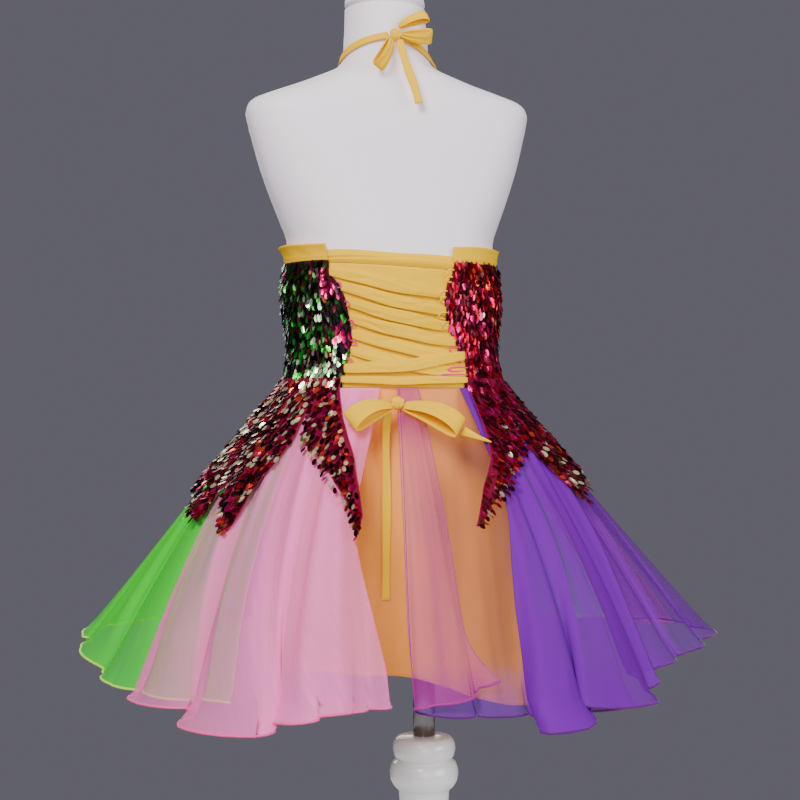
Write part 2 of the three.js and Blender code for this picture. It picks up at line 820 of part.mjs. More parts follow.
// Drop of the underskirt's hem round the body, lowest on the wearer's right
const UNDERSKIRT_HEM = [
  { angle: -90, drop: 274 },
  { angle: -30, drop: 276 },
  { angle: 0, drop: 279 },
  { angle: 15, drop: 288 },
  { angle: 33, drop: 302 },
  { angle: 60, drop: 316 },
  { angle: 90, drop: 316 },
  { angle: 130, drop: 300 },
  { angle: 180, drop: 284 },
  { angle: 270, drop: 274 },
];
const UNDERSKIRT_FOLDS = 11;
const UNDERSKIRT_FOLD_REACH = 6;

function underskirtRadius(angle, drop) {
  const fold = UNDERSKIRT_FOLD_REACH * (0.5 + 0.5 * Math.sin(radians(angle * UNDERSKIRT_FOLDS)));
  const waist = sectionRadius(WAIST_Z, angle) + BODY_GAP;
  const back = curveAt(UNDERSKIRT_PROFILE, "drop", "back", drop);
  const side = curveAt(UNDERSKIRT_PROFILE, "drop", "side", drop);
  return waist + lerp(back, side, Math.sin(radians(angle)) ** 2) + (fold * drop) / FULL_DROP;
}

function addUnderskirt() {
  const halves = [
    { name: "underskirt_back", left: -90, right: 90 },
    { name: "underskirt_front", left: 90, right: 270 },
  ];
  for (const { name, left, right } of halves) {
    const piece = wall(26, 5, (u, v, side) => {
      const angle = lerp(left + SEAM_HALF_ANGLE, right - SEAM_HALF_ANGLE, u);
      const drop = lerp(SEAT_GAP / 2, curveAt(UNDERSKIRT_HEM, "angle", "drop", angle), v);
      return pointRound(WAIST_Z - drop, angle, underskirtRadius(angle, drop) + side * SKIRT_WALL);
    });
    add(name, piece, fabric(COLOURS.peach));
  }
}

const ORGANZA_COLUMN = 3.4;

function addOrganza() {
  for (const { name, layer, colour, edges, hem } of ORGANZA) {
    const hemEdge = edges[edges.length - 1];
    const columns = Math.ceil((hemEdge.right - hemEdge.left) / ORGANZA_COLUMN);
    const panel = wall(columns, 5, (u, v, side) => {
      const drop = lerp(SEAT_GAP / 2, lineThrough(hem, u), v);
      const left = curveAt(edges, "drop", "left", drop);
      const right = curveAt(edges, "drop", "right", drop);
      const angle = leaned(lerp(left, right, u), drop);
      return skirtPoint(angle, drop, layerOut(layer, drop) + side * SKIRT_WALL);
    });
    const sheer = fabric(colour);
    sheer.transparent = true;
    sheer.opacity = 0.6;
    add(name, panel, sheer);
  }
}

const LOOP_WALL = 1.4;
const LOOP_END_WIDTH = 0.45;

// The path of a bow loop: out from a knot to its far end and back, open in the middle
function loopPath(from, to, { face, across, open, bulge, stagger }) {
  const steps = 14;
  const legStart = 1.3;
  return Array.from({ length: steps + 1 }, (_, i) => {
    const t = i / steps;
    const reach = Math.sin(Math.PI * t);
    const apart = Math.cos(Math.PI * t) * (legStart + open * reach);
    return from
      .clone()
      .lerp(to, reach)
      .addScaledVector(face, apart + bulge * Math.sin(Math.PI * reach))
      .addScaledVector(across, stagger * (t - 0.5) * reach);
  });
}

// The width and facing directions of a loop that runs along a line, tilted about it
function loopSides(along, tilt) {
  const level = along.clone().cross(new THREE.Vector3(0, 1, 0)).normalize();
  const turn = (vector) => vector.applyAxisAngle(along, -radians(tilt));
  return { across: turn(level.clone()), face: turn(level.clone().cross(along).normalize()) };
}

function addLoop(name, from, to, shape, width) {
  const path = loopPath(from, to, shape);
  const widthAt = (v) => lerp(width * LOOP_END_WIDTH, width, Math.sin(Math.PI * v) ** 0.7);
  add(name, ribbon(path, () => shape.across, widthAt, LOOP_WALL), yellowSatin);
}

function addKnot(name, centre, size) {
  const knot = new THREE.SphereGeometry(1, 14, 10).scale(size.x, size.y, size.z);
  add(name, knot.translate(centre.x, centre.y, centre.z), yellowSatin);
}

// The tie that hangs from the waist knot: down off the knot, then on the underskirt
const LONG_TAIL = [
  { drop: 24, angle: -11 },
  { drop: 34, angle: -12.3 },
  { drop: 48, angle: -12.8 },
  { drop: 64, angle: -13 },
  { drop: 82, angle: -13 },
  { drop: 102, angle: -13.1 },
  { drop: 122, angle: -13.3 },
  { drop: 144, angle: -13.6 },
  { drop: 166, angle: -13.9 },
  { drop: 186, angle: -14.2 },
  { drop: 204, angle: -14.4 },
];
const LONG_TAIL_WIDTH = 9;
const TAIL_WALL = 1.6;
const WAIST_KNOT = { angle: -5.5, drop: 15, out: 14.5 };
const WAIST_KNOT_SIZE = { x: 7.5, y: 5.5, z: 7 };

function addWaistBow() {
  const centre = skirtPoint(WAIST_KNOT.angle, WAIST_KNOT.drop, WAIST_KNOT.out);
  addKnot("waist_knot", centre, WAIST_KNOT_SIZE);
  const leftEnd = skirtPoint(-27.5, 33, 25);
  const rightEnd = skirtPoint(23, 38.5, 24);
  const loops = [
    { name: "waist_loop_left", to: leftEnd, width: 23, bulge: 5, stagger: -5, tilt: -40 },
    { name: "waist_loop_right", to: rightEnd, width: 24, bulge: 5, stagger: 5, tilt: 40 },
  ];
  for (const { name, to, width, bulge, stagger, tilt } of loops) {
    const along = to.clone().sub(centre).normalize();
    const from = centre.clone().addScaledVector(along, WAIST_KNOT_SIZE.x + 0.5);
    addLoop(name, from, to, { ...loopSides(along, tilt), open: 11, bulge, stagger }, width);
  }
  const knotRadius = Math.hypot(centre.x - pointRound(centre.z, 0, 0).x, centre.y) - 1;
  const path = LONG_TAIL.map(({ drop, angle }) => {
    const lying = underskirtRadius(angle, drop) + SKIRT_WALL + TAIL_WALL;
    return pointRound(WAIST_Z - drop, angle, Math.max(lying, knotRadius));
  });
  const sideways = new THREE.Vector3(1, 0, 0);
  add("waist_tail_long", ribbon(path, () => sideways, () => LONG_TAIL_WIDTH, TAIL_WALL), yellowSatin);
  const shortPath = [0, 0.25, 0.5, 0.75, 1].map((t) => {
    return skirtPoint(lerp(26, 36.5, t), lerp(41.5, 52.5, t), lerp(15.4, 14.2, t));
  });
  const down = new THREE.Vector3(0, 0, 1);
  const taper = (v) => lerp(10, 1.6, v ** 0.8);
  add("waist_tail_short", ribbon(shortPath, () => down, taper, TAIL_WALL), yellowSatin);
}

const STRAP_WIDTH = 7;
const STRAP_THICKNESS = 1.8;
const STRAP_STEPS = 26;
const STRAP_SEAT = 1.3;

function addStrap(name, rows) {
  const offForm = STRAP_SEAT + STRAP_THICKNESS / 2;
  const placed = rows.map((row, place) => ({ ...row, place }));
  const spots = Array.from({ length: STRAP_STEPS + 1 }, (_, i) => {
    const place = (i * (rows.length - 1)) / STRAP_STEPS;
    return { z: curveAt(placed, "place", "z", place), angle: curveAt(placed, "place", "angle", place) };
  });
  const path = spots.map(({ z, angle }) => {
    return bodyPoint(z, angle, 0).addScaledVector(bodyNormal(z, angle), offForm);
  });
  const across = (v) => {
    const j = Math.round(v * STRAP_STEPS);
    const along = path[Math.min(j + 1, STRAP_STEPS)].clone().sub(path[Math.max(j - 1, 0)]);
    return bodyNormal(spots[j].z, spots[j].angle).cross(along).normalize();
  };
  add(name, ribbon(path, across, () => STRAP_WIDTH, STRAP_THICKNESS), yellowSatin);
}

// The neck knot, and where each loop and the tail start and end, from the neck's axis
const NECK_KNOT = { x: -3.9, y: 46.7, z: 984.5 };
const NECK_KNOT_SIZE = { x: 6.2, y: 5, z: 6.5 };
const NECK_LOOPS = [
  {
    name: "neck_loop_upper",
    from: { x: -7.5, y: 47, z: 992.2 },
    to: { x: -36, y: 48, z: 1003 },
    width: 11.5,
    shape: { open: 6.5, bulge: 2, stagger: 0, tilt: 30 },
  },
  {
    name: "neck_loop_lower",
    from: { x: -10.6, y: 47, z: 984 },
    to: { x: -40, y: 49, z: 983 },
    width: 14,
    shape: { open: 8, bulge: 2, stagger: -3, tilt: -35 },
  },
  {
    name: "neck_loop_left",
    from: { x: 1.1, y: 48.1, z: 979.6 },
    to: { x: 15, y: 54.5, z: 950 },
    width: 14,
    shape: { open: 6, bulge: 2, stagger: 0, tilt: 35 },
  },
];
const NECK_TAIL = { from: { x: -7.8, y: 48.6, z: 978.4 }, to: { x: -25, y: 61.5, z: 914 } };
const NECK_TAIL_WIDTH = 9;
const NECK_TAIL_WALL = 2.6;

function addHalter() {
  addStrap("halter_strap_left", STRAP_LEFT);
  addStrap("halter_strap_right", STRAP_RIGHT);
  const axis = pointRound(NECK_KNOT.z, 0, 0).x;
  const place = ({ x, y, z }) => new THREE.Vector3(axis + x, y, z);
  const centre = place(NECK_KNOT);
  addKnot("neck_knot", centre, NECK_KNOT_SIZE);
  for (const { name, from, to, width, shape } of NECK_LOOPS) {
    const start = place(from);
    const end = place(to);
    const along = end.clone().sub(start).normalize();
    addLoop(name, start, end, { ...loopSides(along, shape.tilt), ...shape }, width);
  }
  const start = place(NECK_TAIL.from);
  const end = place(NECK_TAIL.to);
  const steps = 8;
  const path = Array.from({ length: steps + 1 }, (_, i) => start.clone().lerp(end, i / steps));
  const sideways = new THREE.Vector3(1, 0, 0);
  add("neck_tail", ribbon(path, () => sideways, () => NECK_TAIL_WIDTH, NECK_TAIL_WALL), yellowSatin);
}

addForm();
addStand();
BODICE_PIECES.forEach(addBodicePiece);
addBack();
addUnderskirt();
addOrganza();
addPoints();
addWaistBow();
addHalter();

export default dress;
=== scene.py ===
import math

import bmesh
import bpy
import numpy as np
from bpy.props import FloatProperty, FloatVectorProperty, PointerProperty
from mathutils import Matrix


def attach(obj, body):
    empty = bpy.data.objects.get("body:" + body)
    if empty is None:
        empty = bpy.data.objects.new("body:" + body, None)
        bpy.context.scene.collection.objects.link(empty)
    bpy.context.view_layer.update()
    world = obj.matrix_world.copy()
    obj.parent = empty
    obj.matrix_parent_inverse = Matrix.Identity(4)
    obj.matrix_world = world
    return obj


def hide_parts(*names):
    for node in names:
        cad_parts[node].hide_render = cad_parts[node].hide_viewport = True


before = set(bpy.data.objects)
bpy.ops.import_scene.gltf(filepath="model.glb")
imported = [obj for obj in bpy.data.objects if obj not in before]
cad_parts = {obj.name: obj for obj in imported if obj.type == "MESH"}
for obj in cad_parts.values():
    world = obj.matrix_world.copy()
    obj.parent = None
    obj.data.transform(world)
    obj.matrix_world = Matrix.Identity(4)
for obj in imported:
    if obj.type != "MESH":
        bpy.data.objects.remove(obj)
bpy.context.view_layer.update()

bl_info = {
    "name": "Sequin tutu dress",
    "version": (1, 0, 0),
    "blender": (4, 5, 0),
    "location": "3D View > Sidebar > Dress",
    "description": "A halter dance dress with sequins and organza on a limbless form",
    "category": "Object",
}

MM = 0.001

# Lengths are in millimetres until a mesh is made. An angle runs in degrees round the body from
# the centre back towards -X. A drop is a depth below the waist seam. Left is the wearer's.
POST_TOP = 275
POLE_RADIUS = 11.3
FORM_FOOT = 455
FORM_TOP = 1019
WAIST_Z = 632
BODY_GAP = 0.8
BODICE_WALL = 1.6
SKIRT_WALL = 1.4
LAYER_STEP = 1.7
LAYER_SPREAD = 0.03
SIDE_SEAM = 118
FULL_DROP = 270
POINT_RISE = 10
ROLL_HEIGHT = 13
ROLL_TOP = 768
ROLL_FALL = 7
BAND_HEIGHT = 16
FLUTE_PINCH = 0.28
LOOP_WALL = 1.4
TIE_WIDTH = 9.0
STRAP_WIDTH = 7
THREAD = 0.8
EDGE_THREAD = 0.45
# The cloth's outer side, from the inner side of its solid's wall, and how thick it is
CLOTH_OUT = 1.1
THIN_CLOTH = 0.6
# The form's middle line: its place on X at the form's foot, and its lean
FORM_MIDDLE = 28
FORM_LEAN = 0.0226
# How fast the skirt stands out, all round and more at its sides, and how its folds grow
FLARE = 0.7
FLARE_AT_SIDES = 0.036
FOLD_GROWTH = 1.3
GATHER_DEPTH = 1.5
# Gaps at seams, in degrees at a side edge and in millimetres at the waist and the bands
EDGE_GAP = 0.12
WAIST_GAP = 0.2
BAND_GAP = 0.3
# The least flat size of a sheet, and the least share of its rectangle
LEAST_FLAT = 0.0101
LEAST_SHARE = 0.301
# Heights where the strings of sequins start
SEQUIN_TOP = {"bodice_side_left": 758.5, "bodice_side_right": 758.5, "bodice_front": 760}
FRONT_PEAK = 794

# Height, half width, half depth and fullness of the form
FORM_SECTIONS = [
    (455, 104, 72, 2.3), (462, 113, 79, 2.3), (480, 117, 83, 2.3), (520, 119, 85, 2.3),
    (560, 118, 81, 2.3), (600, 115, 73.5, 2.3), (632, 111.5, 68, 2.3), (650, 107, 67, 2.3),
    (672, 104.5, 67, 2.3), (692, 106, 69, 2.3), (717, 109, 74, 2.3), (740, 108, 77, 2.3),
    (760, 106, 77, 2.3), (781, 105.5, 74, 2.35), (800, 112, 70, 2.4), (820, 119.5, 66, 2.5),
    (854, 131, 60, 2.7), (881, 138, 56, 2.9), (900, 142.5, 53, 3), (914, 144, 51, 2.9),
    (924, 137, 48.5, 2.7), (932, 117.5, 46.5, 2.5), (940, 94.8, 45, 2.3), (948.6, 73, 44, 2.1),
    (957.5, 52.5, 43, 2), (965, 45.8, 42.5, 2), (985, 43, 41.5, 2), (1019, 41, 40, 2),
]

# Height and radius of the turned post
POST_PROFILE = [
    (22.3, 0), (22.3, 46), (30, 46), (38, 36), (55, 28), (90, 25.2), (190, 25.2), (219, 26),
    (224, 31), (231, 34.6), (240, 35.2), (248, 32.5), (251, 28.5), (254, 30.5), (261, 32.3),
    (269, 31.3), (273.5, 28), (275, 23), (275, 0),
]

# Height above the form's top and inset of the neck cap
CAP_PROFILE = [
    (0.3, 4), (3.3, 4), (3.7, 0.6), (4.4, 0), (9, 0.3), (11, 1.4), (12.8, 4), (14.2, 8), (15, 14),
]

# Height and radius of the round base
BASE_PROFILE = [
    (0, 147), (0.6, 149), (3, 150), (12, 150), (14, 149.8), (18, 147.5), (20.5, 143),
    (21.7, 138), (22, 132), (22.01, 60),
]

# Height, left and right edge of the back panel
BACK_EDGES = [
    (632, -43, 46), (642, -44, 47.5), (659, -40.5, 48.5), (674, -37.5, 43), (692, -37, 35.7),
    (719, -38.3, 30.5), (734, -41.5, 32), (744, -47, 35.5),
]

# Angle and height of the sequined cloth's top edge
TOP_EDGE = [
    (-180, 797), (-150, 800), (-125, 774), (-100, 760), (-50, 757), (36, 755), (100, 760),
    (125, 774), (150, 800), (180, 797),
]

# Height at each end, width, laces under it and sag of each stretch of lace
LACE_STRETCHES = [
    (746, 724, 13, 0, -2), (731, 707.5, 13, 0, -2.3), (715.5, 692.5, 13, 0, -2.3),
    (700, 677.5, 13, 0, -2.3), (684.5, 662.5, 13, 0, -2.8), (668.5, 647.5, 12.5, 0, -3),
    (651, 664, 12.5, 1, -3), (640, 640, 8.5, 1, -0.5),
]

# Place, reach at the hem and half width of each fold of the skirt
FOLDS = [
    (-158, 15, 10), (-139, 18, 10), (-118, 14, 11), (-97, 17, 10), (-78, 14, 9), (-62, 12, 7),
    (-49, 18, 7), (-36, 22, 8), (-21, 17, 8), (-9, 9, 5), (0, 14, 6), (11, 10, 6), (20, 22, 6),
    (32, 20, 8), (47, 14, 8), (62, 12, 9), (80, 17, 10), (100, 15, 11), (121, 18, 11),
    (142, 14, 10), (161, 17, 10), (181, 14, 10),
]

# Hem angle, and how far the fold leans from there to the waist
LEAN = [
    (-180, 0), (-125, 0), (-96, -8), (-56, -24), (-36, -21), (-20, -12), (-5, 0), (5, 5),
    (10, 11), (16, 19), (25, 24), (42, 24), (62, 18), (90, 7), (125, 0), (180, 0),
]

# Organza panels: layer, side edges by drop as hem angles, and the hem's drops
ORGANZA = {
    "organza_green_left": (
        1,
        [(0, -120, -36), (300, -124, -36)],
        [256, 251, 248, 252, 268, 272, 270],
    ),
    "organza_pink_left": (
        2,
        [(0, -58, -12), (60, -58, -14), (125, -56, -16), (200, -57, -12), (300, -57.5, -8)],
        [268, 275, 278, 289, 292, 286, 276, 273, 269],
    ),
    "organza_mauve_back": (
        2,
        [(0, -5, 5.6), (90, -5.3, 5.6), (165, -5.6, 5.4), (215, -6, 5), (236, -6, 7.5),
         (275, -6, 13.5)],
        [273, 270, 265, 259, 253],
    ),
    "organza_purple_back": (
        1,
        [(0, -4, 33), (300, -6, 33)],
        [274, 280, 281, 281, 282, 280],
    ),
    "organza_purple_right": (
        2,
        [(0, 19.5, 44), (112, 17.3, 44), (195, 15, 43), (254, 14.6, 42.5), (300, 13.4, 42)],
        [293, 291, 280, 276, 279, 276, 266],
    ),
    "organza_purple_side": (
        1,
        [(0, 37, 114), (300, 36, 118)],
        [262, 254, 250, 249, 252, 256, 260],
    ),
    "organza_pink_front": (
        2,
        [(0, 98, 160), (300, 104, 166)],
        [258, 264, 262, 268, 266, 270],
    ),
    "organza_green_front": (
        1,
        [(0, 117, 182), (300, 121, 182)],
        [262, 268, 264, 270, 268, 266],
    ),
    "organza_mauve_front": (
        2,
        [(0, 162, 216), (300, 168, 212)],
        [268, 266, 270, 264, 266],
    ),
    "organza_purple_front": (
        1,
        [(0, 184, 238), (300, 184, 234)],
        [266, 268, 264, 268, 262],
    ),
}

# Sequined points: side edges by drop
POINTS = {
    "point_left_back": [
        (0, -55, -43.3), (37, -50.5, -32), (50, -48, -28.5), (65, -39, -25), (80, -31.5, -22.7),
        (98, -26, -20), (117, -21.5, -18), (134, -19.4, -18.6),
    ],
    "point_left_rear": [
        (0, -78, -55.5), (48, -74.2, -51.8), (62, -72.2, -52.4), (88, -68.6, -54.2),
        (104, -64, -56.9), (120, -60.2, -56.6), (134.5, -57.1, -56.3),
    ],
    "point_left_side": [
        (0, -118, -78.5), (48, -112, -74.7), (62, -104, -72.7), (88, -91, -69.1),
        (106, -80.5, -66.8), (118, -75, -68.8), (126, -71.6, -70.8),
    ],
    "point_right_back": [
        (0, 46.3, 60), (22, 42.1, 57.5), (44, 37.9, 55), (54, 35.9, 53.2), (68, 32.8, 45.6),
        (90, 26.2, 34), (107, 20.9, 26), (128, 16.2, 17),
    ],
    "point_right_side": [
        (0, 60.5, 118), (54, 54, 104), (70, 57.5, 92), (83, 58, 80), (98, 59, 69),
        (109, 59.6, 60.6),
    ],
    "point_front_right": [
        (0, 118.5, 179.7), (60, 122, 176), (100, 136, 160), (130, 147.5, 148.5),
    ],
    "point_front_left": [
        (0, 180.2, 241.4), (60, 184, 238), (100, 200, 224), (130, 211.5, 212.5),
    ],
}

# Height and angle of each neck strap, from the front band to the knot
STRAP_LEFT = [
    (816.9, -150), (850, -149), (885, -146), (915, -140), (940, -130), (957, -117), (966, -102),
    (969, -82), (975, -58), (980, -34), (983, -14), (984, -4.5),
]

STRAP_RIGHT = [
    (816.9, 150), (850, 149), (885, 146), (915, 140), (938, 130), (952, 117), (959, 100),
    (963, 80), (970, 58), (977, 36), (982, 20), (983, 14.5),
]

# Drop and angle of the long tail
LONG_TAIL = [
    (24, -11), (34, -12.3), (48, -12.8), (64, -13), (82, -13), (102, -13.1), (122, -13.3),
    (144, -13.6), (166, -13.9), (186, -14.2), (204, -14.4),
]

# Drop, and how far the underskirt stands out at the back and at the sides
UNDERSKIRT_PROFILE = [
    (0, 0, 0), (36, 9, 5.5), (76, 16.5, 11), (112, 20.5, 14.5), (200, 27, 19), (316, 38, 27),
]

# Angle and drop of the underskirt's hem
UNDERSKIRT_HEM = [
    (-90, 274), (-30, 276), (0, 279), (15, 288), (33, 302), (60, 316), (90, 316), (130, 300),
    (180, 284), (270, 274),
]

# Gathers from the waist: hem angle, depth, half width, and the drops where it starts and ends
GATHERS = [
    (-170, 3, 3, 0, 300), (-163, -2.5, 2.5, 10, 240), (-151, 3.5, 3, 0, 300),
    (-145, -3, 3, 30, 300), (-131, 3, 3, 0, 220), (-126, -3.5, 3.5, 40, 300),
    (-110, 3, 3, 0, 300), (-104, -3, 2.5, 0, 200), (-91, 3.5, 3, 20, 300), (-84, -3, 3, 0, 300),
    (-73, 3, 2.5, 0, 250), (-68, -2.5, 2, 30, 300), (-56.5, -3.5, 2.5, 0, 300),
    (-53, 2.5, 2, 60, 300), (-46, 3, 2, 0, 200), (-43.5, -3.5, 2.2, 50, 300),
    (-39, 2.5, 1.8, 0, 300), (-33, -3.5, 2.6, 20, 300), (-29.5, 3, 2, 0, 260),
    (-25, -2.5, 2, 70, 300), (-22.5, 3.5, 2, 0, 300), (-18, -3, 2.2, 10, 300),
    (-14, 2.5, 1.8, 0, 220), (-11.5, -2, 1.6, 60, 300), (-3.5, 2, 1.6, 0, 300),
    (-1, -2.5, 1.6, 40, 300), (2.5, 3, 1.8, 0, 240), (5.6, -2.5, 1.6, 20, 300),
    (8.5, 2, 1.5, 80, 300), (14, -2.5, 1.8, 0, 300), (17.5, 3, 1.8, 40, 300),
    (23, -3.5, 2.2, 0, 300), (27, 3, 2, 60, 300), (29.5, -2.5, 1.8, 0, 230),
    (35, 3.5, 2.4, 0, 300), (39, -3.5, 2.4, 30, 300), (44, 2.5, 2, 0, 260), (51, -3, 2.5, 0, 300),
    (56, 3, 2.5, 50, 300), (66, -3, 3, 0, 300), (72, 2.5, 2.5, 20, 240), (86, -3.5, 3, 0, 300),
    (93, 3, 3, 40, 300), (107, -3, 3, 0, 300), (115, 3, 2.5, 0, 220), (128, -3.5, 3.5, 20, 300),
    (135, 3, 3, 0, 300), (150, -3, 3, 50, 300), (155, 2.5, 2.5, 0, 300), (172, -3, 3, 0, 260),
]


def curve_at(keys, values, x):
    """The values at x on a smooth curve through the keys."""
    keys, values = np.asarray(keys, float), np.asarray(values, float)
    last = len(keys) - 1
    x = np.clip(x, keys[0], keys[-1])
    i = np.clip(np.searchsorted(keys, x) - 1, 0, last - 1)
    slope = np.diff(values) / np.diff(keys)
    here = slope[i]
    before = np.where(i > 0, (slope[np.maximum(i - 1, 0)] + here) / 2, here)
    after = np.where(i + 2 <= last, (slope[np.minimum(i + 1, last - 1)] + here) / 2, here)
    span = keys[i + 1] - keys[i]
    t = (x - keys[i]) / span
    bend = t * (1 - t) * span
    straight = values[i] + (values[i + 1] - values[i]) * t
    return straight + bend * ((before - here) * (1 - t) - (after - here) * t)


def column(rows, place):
    """One column of a table."""
    return np.array([row[place] for row in rows], float)


def smooth_from(rows, x, place=1):
    """A table's values at x, on a smooth curve."""
    return curve_at(column(rows, 0), column(rows, place), x)


def straight_from(rows, x, place=1):
    """A table's values at x, on straight lines."""
    return np.interp(x, column(rows, 0), column(rows, place))


def section_radius(z, angle):
    """Radius of the form's oval section at a height and an angle."""
    width, depth, power = (smooth_from(FORM_SECTIONS, z, place) for place in (1, 2, 3))
    turn = np.radians(angle)
    across = np.abs(np.sin(turn)) / width
    along = np.abs(np.cos(turn)) / depth
    return (across**power + along**power) ** (-1 / power)


def point_round(z, angle, radius):
    """A point in space from its height, angle and radius."""
    z, angle, radius = np.broadcast_arrays(z, angle, radius)
    centre = FORM_MIDDLE + (z - FORM_FOOT) * FORM_LEAN
    turn = np.radians(angle)
    point = [centre - radius * np.sin(turn), radius * np.cos(turn), z]
    return np.stack(point, axis=-1).astype(float)


def body_point(z, angle, out):
    """A point that stands out from the form's surface."""
    return point_round(z, angle, section_radius(z, angle) + out)


def wrapped(angle):
    """An angle brought between -180 and 180 degrees."""
    return angle - 360 * np.round(np.asarray(angle) / 360)


def hump(x, middle, half):
    """A soft ridge of height 1 at middle, which ends at half away."""
    away = (np.asarray(x, float) - middle) / half
    return np.where(np.abs(away) < 1, np.cos(away * math.pi / 2) ** 2, 0)


def fold_reach(angle):
    """How far the large folds stand out at the hem."""
    return sum(reach * hump(wrapped(angle - place), 0, half) for place, reach, half in FOLDS)


def fluted(hem_angle, drop):
    """Folds bunch towards their crests near the hem, which makes them deep flutes."""
    shift = np.zeros(np.broadcast(hem_angle, drop).shape)
    deep = np.clip(np.asarray(drop, float) / FULL_DROP, 0, 1.1) ** 2.5
    for place, reach, half in FOLDS:
        away = wrapped(hem_angle - place) / half
        pinch = FLUTE_PINCH * half * np.sin(math.pi * away) * min(reach / 16, 1.2)
        shift += np.where(np.abs(away) < 1, pinch, 0) * deep
    return shift


def leaned(hem_angle, drop):
    """The angle of a fold at some drop, from its angle at the hem."""
    share = np.clip(1 - drop / FULL_DROP, 0, 1)
    return hem_angle + smooth_from(LEAN, wrapped(hem_angle)) * share


def unleaned(angle, drop):
    """The angle at the hem that leans to this angle, found step by step."""
    hem_angle = np.array(angle, float)
    for _ in range(30):
        hem_angle = hem_angle - 0.4 * (leaned(hem_angle, drop) - angle)
    return hem_angle


def gathers(hem_angle, drop):
    """How far the finer gathers stand out, the same in every layer of cloth."""
    total = np.zeros(np.broadcast(hem_angle, drop).shape)
    for place, depth, half, start, end in GATHERS:
        run = np.clip((drop - start) / 70, 0, 1) * np.clip((end - drop) / 60 + 0.25, 0, 1)
        total += GATHER_DEPTH * depth * hump(wrapped(hem_angle - place), 0, half) * run
    return total


def skirt_point(angle, drop, out, fine=0.0):
    """A point of the flared skirt. fine is the share of the gathers and of the flutes."""
    angle, drop, out = np.broadcast_arrays(angle, drop, out)
    fall = np.maximum(drop, 0)
    flare = FLARE + FLARE_AT_SIDES * np.sin(np.radians(angle)) ** 2
    hem_angle = unleaned(angle, drop)
    fold = fold_reach(hem_angle) * (fall / FULL_DROP) ** FOLD_GROWTH
    z = WAIST_Z - drop
    waist = section_radius(np.maximum(z, WAIST_Z), angle)
    radius = waist + flare * fall + fold + out + fine * gathers(hem_angle, drop)
    return point_round(z, angle + fine * fluted(hem_angle, drop), radius)


def layer_out(layer, drop):
    """How far a layer of the skirt stands out from the one at the waist."""
    return BODY_GAP + layer * (LAYER_STEP + LAYER_SPREAD * np.maximum(drop, 0))


def underskirt_radius(angle, drop):
    """Radius of the underskirt's inner side."""
    fold = 6 * (0.5 + 0.5 * np.sin(np.radians(angle * 11)))
    back, side = (smooth_from(UNDERSKIRT_PROFILE, drop, place) for place in (1, 2))
    out = back + (side - back) * np.sin(np.radians(angle)) ** 2
    return section_radius(WAIST_Z, angle) + BODY_GAP + out + fold * drop / FULL_DROP


def back_left(z):
    return straight_from(BACK_EDGES, z)


def back_right(z):
    return straight_from(BACK_EDGES, z, 2)


def unit(vectors):
    return vectors / np.maximum(np.linalg.norm(vectors, axis=-1, keepdims=True), 1e-9)


def body_normal(z, angle):
    """Direction square to the form's surface."""
    up = body_point(z + 0.5, angle, 0) - body_point(z - 0.5, angle, 0)
    around = body_point(z, angle + 0.5, 0) - body_point(z, angle - 0.5, 0)
    return unit(np.cross(around, up))


def srgb(red, green, blue):
    """A colour from the usual 0 to 255 values, for a shader."""
    values = np.array([red, green, blue]) / 255
    return tuple(np.where(values <= 0.04045, values / 12.92, ((values + 0.055) / 1.055) ** 2.4))


# Meshes


def new_piece(name, points, faces, material, uv=None, smooth=True):
    """A mesh object from points in millimetres, which rides on the root body."""
    mesh = bpy.data.meshes.new(name)
    mesh.from_pydata((np.asarray(points, float) * MM).tolist(), [], faces)
    if uv is not None:
        layer = mesh.uv_layers.new(name="cloth")
        loops = np.empty(len(mesh.loops), dtype=np.int32)
        mesh.loops.foreach_get("vertex_index", loops)
        layer.data.foreach_set("uv", np.asarray(uv, np.float32)[loops].ravel())
    mesh.polygons.foreach_set("use_smooth", [smooth] * len(mesh.polygons))
    mesh.materials.append(material)
    mesh.update()
    piece = bpy.data.objects.new(name, mesh)
    bpy.context.collection.objects.link(piece)
    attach(piece, "root")
    return piece


def grid_faces(rows, columns, around=False, start=0):
    """Four-sided faces of a grid, joined up where it runs around."""
    faces = []
    for j in range(rows - 1):
        for i in range(columns if around else columns - 1):
            a, b = j * columns + i, j * columns + (i + 1) % columns
            faces.append((start + a, start + a + columns, start + b + columns, start + b))
    return faces


def grid_uv(grid):
    """Flat coordinates in metres, across and down a grid of points."""
    rows, columns = grid.shape[:2]
    across = np.linalg.norm(np.diff(grid[rows // 2], axis=0), axis=1).sum() * MM
    along = np.linalg.norm(np.diff(grid[:, columns // 2], axis=0), axis=1).sum() * MM
    u, v = np.meshgrid(np.linspace(0, across, columns), np.linspace(0, along, rows))
    return np.stack([u, v], axis=-1).reshape(-1, 2)


def deselect():
    bpy.ops.object.select_all(action="DESELECT")


def apply_modifier(piece, kind, **values):
    """Adds a modifier with its values and applies it."""
    deselect()
    bpy.context.view_layer.objects.active = piece
    piece.select_set(True)
    modifier = piece.modifiers.new(kind.lower(), kind)
    for key, value in values.items():
        setattr(modifier, key, value)
    bpy.ops.object.modifier_apply(modifier=modifier.name)
    deselect()


def face_outwards(piece):
    bm = bmesh.new()
    bm.from_mesh(piece.data)
    bmesh.ops.recalc_face_normals(bm, faces=bm.faces)
    bm.to_mesh(piece.data)
    bm.free()


